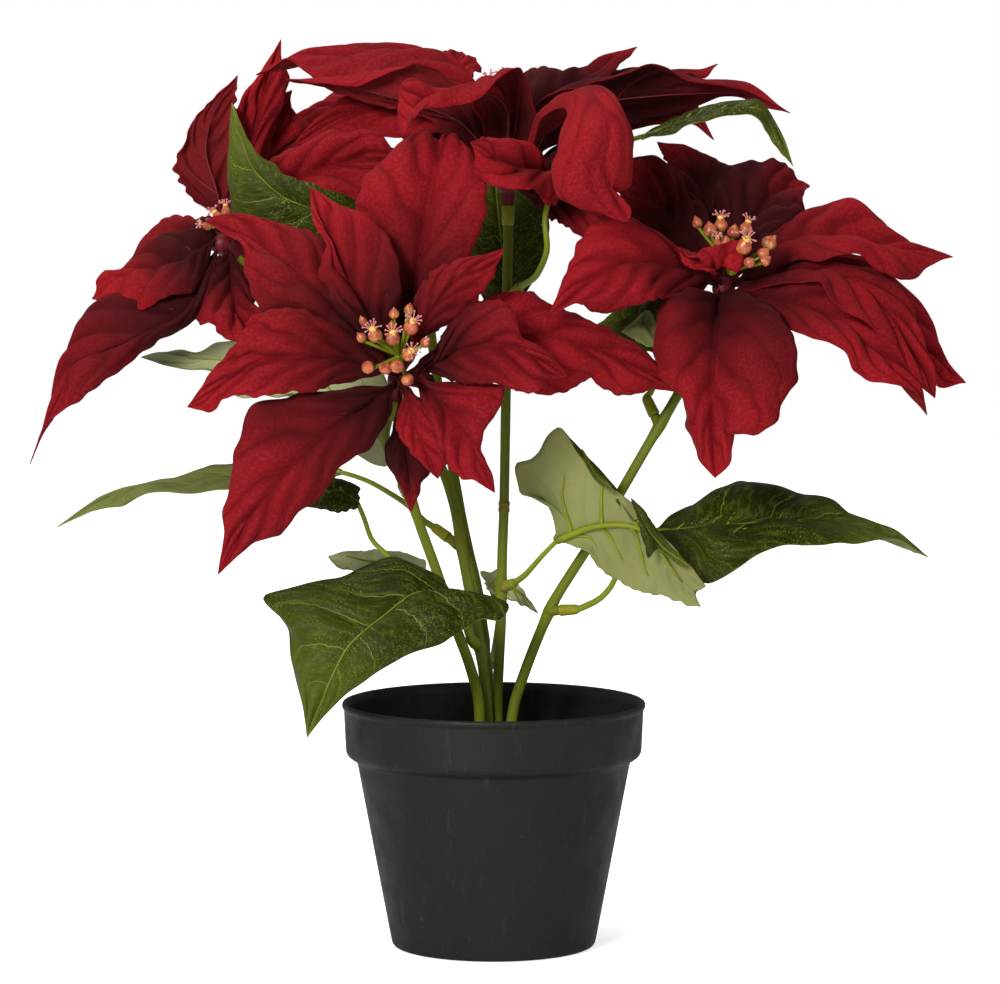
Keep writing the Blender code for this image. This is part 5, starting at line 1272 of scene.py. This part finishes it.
def pot_material():
    """Black plastic with rubbed streaks, specks of dust and fine upright scratches."""
    g = Graph("pot_matte_plastic", Roughness=0.5, Specular_IOR_Level=0.24)
    spot = g.place()
    colour = g.mix(g.ease(g.noise(spot, 14.0, 3.0), 0.35, 0.7), POT_DARK, POT_GREY)
    rub = g.noise(g.stretch(spot, (40.0, 40.0, 6.0)), 6.0, 4.0, 0.65)
    colour = g.mix(g.ease(rub, 0.58, 0.8, 0.0, 0.5), colour, POT_DUST)
    dust = g.ease(g.cells(spot, 75.0, "F1"), 0.05, 0.11, 0.5, 0.0)
    some = g.ease(g.noise(spot, 60.0, 2.0), 0.58, 0.64)
    colour = g.mix(g.times(dust, some), colour, POT_DUST)
    scratch = g.ease(g.noise(g.stretch(spot, (260.0, 260.0, 14.0)), 4.0, 2.0), 0.66, 0.74, 0.0, 0.35)
    colour = g.mix(scratch, colour, POT_DUST)
    grain = g.noise(spot, 1400.0, 3.0)
    normal = g.bump(grain, 0.00018, 0.5)
    normal = g.bump(g.noise(spot, 22.0, 2.0), 0.002, 0.15, normal)
    roughness = g.ease(g.noise(spot, 90.0, 3.0), 0.3, 0.7, 0.46, 0.6)
    return g.finish(colour, roughness, normal)


def filler_material():
    g = Graph("filler_crumb", Roughness=0.95)
    spot = g.place()
    crumbs = g.noise(spot, 320.0, 5.0, 0.7)
    colour = g.mix(g.ease(crumbs, 0.3, 0.7), FILLER_DARK, FILLER_LIGHT)
    normal = g.bump(crumbs, 0.0015, 0.8)
    return g.finish(colour, normal=normal)


# Pieces of the plant and the pot
def seed_of(text):
    return sum((i + 1) * ord(letter) for i, letter in enumerate(text))


def look_of(kind, name):
    return {**kind, **OTHER_LOOKS.get(name, {})}


def add_ribs(shape, grid, normal, thick, starts):
    """Moulded ribs under a blade: one along its middle, and a pair from each start towards the edges."""
    share = np.linspace(0, 1, 15)
    middle = [surface_point(grid, normal, 0.03 + 0.8 * s, 0, thick * 0.55 * (1 - 0.6 * s)) for s in share]
    sweep(shape, middle, thick * (1 - 0.75 * share), 8)
    for start in starts:
        for side in (-1, 1):
            share = np.linspace(0, 1, 9)
            line = []
            for s in share:
                u = start + 0.19 * s**1.15 + (0.03 if side > 0 else 0)
                line.append(surface_point(grid, normal, u, side * 0.66 * s, thick * 0.35 * (1 - 0.5 * s)))
            sweep(shape, line, thick * 0.62 * (1 - 0.75 * share), 8)


def make_bloom(name, materials):
    """A bloom's fabric bracts, and their ribs on the moulded hub with its collar."""
    node = "bracts_" + name
    end, way, hub = hub_of(name)
    petals, hub_shape = Shape(), Shape()
    for petal, blade in BRACTS[name].items():
        rng = np.random.default_rng(seed_of(name + petal))
        root = hub + unit(place(blade[0][0]) - hub) * CLAW_SINK
        grid, normal, maps = blade_surface(root, blade, rng, look_of(BRACT_LOOK, name + " " + petal))
        add_blade(petals, grid, maps)
        add_ribs(hub_shape, grid, normal, BRACT_RIB_RADIUS, BRACT_RIB_STARTS)
    mouth = end + way * GAP
    steps = np.linspace(0, 1, 12)
    collar = [mouth + (hub - mouth) * s for s in steps]
    sweep(hub_shape, collar, COLLAR_RADIUS * (0.96 + 0.42 * steps**3), 20)
    ball(hub_shape, hub, HUB_RADIUS, way, rings=10, sides=18)
    fabric = [materials["bract_top"], materials["bract_under"], materials["bract_edge"]]
    dress(petals.make(node + "_fabric", fabric, FABRIC_THICKNESS), "bract_fabric", node)
    dress(hub_shape.make(node + "_hub", [materials["red_plastic"]]), "bract_fabric", node)


def make_leaf(name, materials):
    """A leaf's printed blade, and its moulded stalk with the sleeve that is pushed over a peg."""
    node = "leaf_" + name
    leaf = LEAVES[name]
    start, toward = peg_line(leaf)
    mouth = start + toward * (STEM_RADIUS + STUB_LENGTH + GAP)
    sleeve_end = mouth + toward * SLEEVE_LENGTH
    blade = leaf[4]
    root = place(blade[0][0])
    inward = unit(place(blade[0][1]) - root)
    rng = np.random.default_rng(seed_of(name))
    grid, normal, maps = blade_surface(root - inward * SINK, blade, rng, look_of(LEAF_LOOK, name))
    sheet, stalk = Shape(), Shape()
    add_blade(sheet, grid, maps)
    for strip in ROLLED_EDGES.get(name, ()):
        rolled, _, rolled_maps = blade_surface(place(strip[0][0]), strip, rng, ROLL_LOOK)
        add_blade(sheet, rolled, rolled_maps)
    fabric = [materials["leaf_top"], materials["leaf_under"], materials["leaf_edge"]]
    dress(sheet.make(node + "_blade", fabric, FABRIC_THICKNESS), "leaf_fabric", node)
    route = [sleeve_end - toward * SINK, sleeve_end] + [place(p) for p in leaf[3]]
    route += [root, surface_point(grid, normal, 0.07, 0, PETIOLE_RADIUS * 0.5)]
    course = resample(route, max(12, round(travelled(route)[-1] / STEM_STEP)))
    share = np.linspace(0, 1, len(course))
    sweep(stalk, course, PETIOLE_RADIUS * (1.25 - 0.4 * np.sin(math.pi * share / 2)), 12)
    sleeve = [mouth + toward * SLEEVE_LENGTH * s for s in SLEEVE_STEPS]
    sweep(stalk, sleeve, SLEEVE_RADIUS * np.array(SLEEVE_RADII), 14, tint=SLEEVE_WARMTH)
    add_ribs(stalk, grid, normal, THICK_RIB_RADIUS.get(name, LEAF_RIB_RADIUS), LEAF_RIB_STARTS)
    dress(stalk.make(node + "_stalk", [materials["rib_green"]]), "leaf_fabric", node)


def make_stem(name, materials):
    """A stem with a stub at each leaf's peg, its joints, and the lighter tip that carries the bloom."""
    course = stem_course(name)
    travel = travelled(course)
    radii = STEM_RADIUS * np.interp(travel, (0, 60, 140), (1.12, 1.08, 0.98))
    shape = Shape()
    for leaf in LEAVES.values():
        if leaf[0] != name:
            continue
        start, toward = peg_line(leaf)
        near = travel[np.argmin(np.linalg.norm(course - start, axis=1))]
        radii += 0.45 * np.exp(-((travel - near) / 4) ** 2)
        stub = [start + toward * (STEM_RADIUS + STUB_LENGTH) * s for s in STUB_STEPS]
        sweep(shape, stub, STUB_RADII, 14, tint=0.15)
    sweep(shape, course, radii, 18)
    for joint in JOINTS.get(name, ()):
        point = place(joint)
        k = int(np.argmin(np.linalg.norm(course - point, axis=1)))
        way = unit(course[k + 1] - course[k - 1])
        sweep(shape, [course[k] + way * s for s in JOINT_STEPS], JOINT_RADII, 18, tint=0.2)
    end, way, _ = hub_of(name)
    sweep(shape, [end + way * s for s in TIP_STEPS], TIP_RADII, 18, slot=1)
    piece = shape.make("stem_" + name + "_fine", [materials["stem"], materials["rib_green"]])
    dress(piece, "stem_plastic", "stem_" + name)


def add_stamens(shape, top, axis, size, rng):
    """Pink filaments with round tips that fan out from the top of an open flower head."""
    across = unit(np.cross(axis, (0.3, 0.2, 1.0)))
    other = np.cross(axis, across)
    for k in range(STAMENS):
        turn = math.tau * (k + 0.6 * rng.random()) / STAMENS
        lean = math.radians(rng.uniform(25, 78))
        out = across * math.cos(turn) + other * math.sin(turn)
        length = size * rng.uniform(0.95, 1.35)
        line = []
        for s in np.linspace(0, 1, 6):
            bend = lean * (0.6 + 0.4 * s)
            line.append(top + out * size * 0.2 + (axis * math.cos(bend) + out * math.sin(bend)) * length * s)
        sweep(shape, line, STAMEN_RADIUS, 6, slot=2)
        ball(shape, line[-1], STAMEN_TIP_RADIUS, axis, rings=5, sides=7, slot=3)


def make_flowers(name, materials):
    """The flower heads of a bloom on their stalks, with stamens and pollen on the open ones."""
    knob_point, heads = HEADS[name]
    knob = place(knob_point)
    _, way, _ = hub_of(name)
    rng = np.random.default_rng(seed_of("flowers" + name))
    shape = Shape()
    ball(shape, knob, KNOB_RADIUS, way, slot=1)
    for k, head in enumerate(heads):
        centre, radius = place(head), head[3]
        axis = unit(unit(centre - knob) + 0.5 * unit(way))
        foot = centre - axis * radius * 1.2
        sweep(shape, resample([knob, knob + (foot - knob) * 0.6, foot, centre], 10),
              STALK_RADIUS * np.linspace(1.0, 0.85, 11), 10, slot=1)
        opened = k in OPEN_HEADS[name]
        profile = OPEN_PROFILE if opened else BUD_PROFILE
        long = 1.15 + 0.9 * max(0.0, BUD_SIZE - radius)
        ball(shape, centre, radius, axis, long, 16, 20, 0, rng.random(), profile)
        if opened:
            top = centre + axis * radius * (long - 0.08)
            ball(shape, top, radius * 0.52, axis, 0.8, 6, 12, slot=4)
            add_stamens(shape, top, axis, radius * 0.95, rng)
    kinds = ("head", "rib_green", "stamen", "stamen_tip", "pollen")
    piece = shape.make("flowers_" + name + "_fine", [materials[kind] for kind in kinds])
    dress(piece, "flower_plastic", "flowers_" + name)


def rounded(profile, radius):
    """The profile with each of its inner corners replaced by a short curve."""
    points = np.asarray(profile, float)
    result = [points[0]]
    for before, corner, after in zip(points, points[1:], points[2:]):
        back, on = before - corner, after - corner
        near = corner + unit(back) * min(radius, 0.45 * np.linalg.norm(back))
        far = corner + unit(on) * min(radius, 0.45 * np.linalg.norm(on))
        for t in np.linspace(0, 1, 5):
            result.append((1 - t) ** 2 * near + 2 * t * (1 - t) * corner + t**2 * far)
    return [*result, points[-1]]


def turned(name, profile, steps):
    """A piece turned from its radii and heights."""
    mesh = bpy.data.meshes.new(name)
    points = [(radius * MM, 0, height * MM) for radius, height in profile]
    mesh.from_pydata(points, [(k, k + 1) for k in range(len(points) - 1)], [])
    piece = bpy.data.objects.new(name, mesh)
    bpy.context.scene.collection.objects.link(piece)
    screw = piece.modifiers.new("turn", "SCREW")
    screw.steps = steps
    screw.render_steps = steps
    screw.use_merge_vertices = True
    screw.merge_threshold = 0.00001
    apply_modifiers(piece)
    piece.data.shade_smooth()
    piece.data.set_sharp_from_angle(angle=math.radians(50))
    return piece


def wall_radius(height):
    """The radius of the pot's tapered wall below its shoulder."""
    low = POT_BASE_DIAMETER / 2
    return low + (POT_SHOULDER_RADIUS - low) * height / (POT_HEIGHT - POT_BAND_HEIGHT - POT_SHOULDER_DROP)


def make_pot(materials):
    """The pot's shell, from the middle of its floor up the inside, over the lip and down to its base."""
    rim = POT_RIM_DIAMETER / 2
    floor = POT_WALL + POT_FLOOR_EXTRA
    lip_low = POT_HEIGHT - POT_LIP_HEIGHT
    band_low = POT_HEIGHT - POT_BAND_HEIGHT
    shoulder = band_low - POT_SHOULDER_DROP
    inside = [
        (0, floor), (wall_radius(6) - POT_WALL - 2, floor), (wall_radius(6) - POT_WALL, 5),
        (wall_radius(shoulder) - POT_WALL, shoulder), (POT_BAND_RADIUS - POT_WALL - 1, band_low),
        (POT_BAND_RADIUS - POT_WALL, lip_low), (rim - POT_WALL, POT_HEIGHT - 0.6),
    ]
    lip = [
        (rim - 0.9, POT_HEIGHT), (rim - 0.3, POT_HEIGHT - 0.4), (rim, POT_HEIGHT - 1.2),
        (rim - 0.2, lip_low + 0.6), (POT_BAND_RADIUS + 0.2, lip_low),
    ]
    outside = [
        (POT_BAND_RADIUS - 0.6, band_low), (POT_BAND_RADIUS - 1.6, band_low - 1.6),
        (wall_radius(shoulder) + 0.6, band_low - 3.4), (wall_radius(shoulder), shoulder),
        (wall_radius(3), 3), (wall_radius(1) - 0.2, 0.8), (wall_radius(0) - 1.4, 0), (0, 0),
    ]
    pot = turned("pot_shell", rounded(inside + lip + outside, POT_CORNER), POT_STEPS)
    pot.data.materials.append(materials["pot"])
    dress(pot, "pot_plastic", "pot")


def make_filler(materials):
    """The crumbly plug that fills the pot up to FILLER_TOP."""
    shoulder = POT_HEIGHT - POT_BAND_HEIGHT - POT_SHOULDER_DROP
    inset = POT_WALL + 2 * GAP
    top_radius = wall_radius(shoulder) - inset
    rng = np.random.default_rng(seed_of("filler"))
    sides = FILLER_SIDES
    radii = np.r_[np.linspace(0.4, top_radius, FILLER_RINGS), wall_radius(6) - inset]
    shape = Shape()
    angle = np.linspace(0, math.tau, sides, endpoint=False)
    heights = FILLER_TOP - 0.5 * (radii / top_radius) ** 2
    heights[-2:] = shoulder - 1, 6
    points = np.stack(np.broadcast_arrays(radii[:, None] * np.cos(angle), radii[:, None] * np.sin(angle),
                                          heights[:, None]), axis=2)
    lumps = waves(rng, points[..., 0] / 14, points[..., 1] / 14, 1, 1, 8)
    crumbs = rng.uniform(-FILLER_CRUMB, FILLER_CRUMB, lumps[:-2].shape)
    points[:-2, :, 2] += FILLER_LUMP * lumps[:-2] + crumbs
    faces = [tuple(range(sides))]
    for i in range(len(radii) - 1):
        for j in range(sides):
            k = (j + 1) % sides
            faces.append((i * sides + j, (i + 1) * sides + j, (i + 1) * sides + k, i * sides + k))
    last = (len(radii) - 1) * sides
    faces.append(tuple(last + j for j in range(sides))[::-1])
    shape.add(points, faces)
    dress(shape.make("filler_crumb", [materials["filler"]]), "filler", "filler")


# Camera, floor and lights
def make_camera():
    data = bpy.data.cameras.new("camera")
    data.sensor_width = SENSOR_WIDTH
    data.lens = VIEW_FOCUS * data.sensor_width / VIEW_WIDTH
    camera = bpy.data.objects.new("camera", data)
    camera.location = Vector(EYE) * MM
    camera.rotation_euler = (math.radians(90) - EYE_PITCH, 0, 0)
    bpy.context.scene.collection.objects.link(camera)
    bpy.context.scene.camera = camera


def add_light(name, place_m, size_m, power):
    """A soft square light that looks at the middle of the plant."""
    data = bpy.data.lights.new(name, "AREA")
    data.size = size_m
    data.energy = power
    lamp = bpy.data.objects.new(name, data)
    lamp.location = place_m
    lamp.rotation_euler = (Vector(LIGHT_AIM_M) - Vector(place_m)).to_track_quat("-Z", "Y").to_euler()
    bpy.context.scene.collection.objects.link(lamp)


def floor_material():
    """White, and brighter to the camera than as a light, more so away from the pot."""
    g = Graph("floor_white", Roughness=0.9)
    colour = g.mix(g.noise(g.place(), 2.0), FLOOR, FLOOR_SHADE)
    g.put(g.shader.inputs["Emission Color"], (1, 1, 1))
    spread = g.node("VectorMath", {"operation": "LENGTH"}, {"Vector": g.place()}).outputs["Value"]
    glow = g.ease(spread, GLOW_FROM_M, GLOW_TO_M, FLOOR_GLOW, 1.0)
    seen = g.node("LightPath", {}, {}).outputs["Is Camera Ray"]
    g.put(g.shader.inputs["Emission Strength"], g.times(seen, glow))
    return g.finish(colour)


def make_floor():
    spot = (0, 0, -FLOOR_DROP_M)
    bpy.ops.mesh.primitive_circle_add(vertices=96, radius=FLOOR_RADIUS_M, fill_type="NGON", location=spot)
    floor = bpy.context.object
    floor.name = "floor"
    floor.data.materials.append(floor_material())


def make_world():
    """A white surround, full bright to the camera and dim as a light, and the plain view transform."""
    world = bpy.data.worlds.new("studio")
    world.use_nodes = True
    tree = world.node_tree
    ground = tree.nodes["Background"]
    ground.inputs["Color"].default_value = (1, 1, 1, 1)
    ray = tree.nodes.new("ShaderNodeLightPath")
    strength = tree.nodes.new("ShaderNodeMapRange")
    strength.inputs["To Min"].default_value = WORLD_LIGHT
    strength.inputs["To Max"].default_value = 1.0
    tree.links.new(ray.outputs["Is Camera Ray"], strength.inputs["Value"])
    tree.links.new(strength.outputs["Result"], ground.inputs["Strength"])
    bpy.context.scene.world = world
    bpy.context.scene.view_settings.view_transform = "Standard"


def make_materials():
    """Every material by the name that the pieces ask for."""
    return {
        "bract_top": bract_material("bract_velvet", False),
        "bract_under": bract_material("bract_underside", True),
        "bract_edge": bract_edge_material(),
        "leaf_top": leaf_top_material(),
        "leaf_under": leaf_under_material(),
        "leaf_edge": leaf_edge_material(),
        "stem": stem_material("stem_green_plastic", STEM_GREEN, STEM_OLIVE),
        "rib_green": stem_material("rib_light_plastic", RIB_GREEN, RIB_LIGHT),
        "red_plastic": plain_grain_material("hub_red_plastic", RED_PLASTIC, RED_PLASTIC_LIGHT, 0.45, 300.0),
        "head": head_material(),
        "stamen": plain_grain_material("stamen_pink", STAMEN_PINK, STAMEN_LIGHT, 0.5),
        "stamen_tip": plain_grain_material("stamen_tip", STAMEN_LIGHT, STAMEN_PINK, 0.5),
        "pollen": plain_grain_material("pollen_yellow", POLLEN, POLLEN_LIGHT, 0.7),
        "pot": pot_material(),
        "filler": filler_material(),
    }


def main():
    make_camera()
    make_floor()
    make_world()
    for name, light in LIGHTS.items():
        add_light(name, *light)
    materials = make_materials()
    make_pot(materials)
    make_filler(materials)
    for name in STEMS:
        make_stem(name, materials)
        make_bloom(name, materials)
        make_flowers(name, materials)
    for name in LEAVES:
        make_leaf(name, materials)


main()
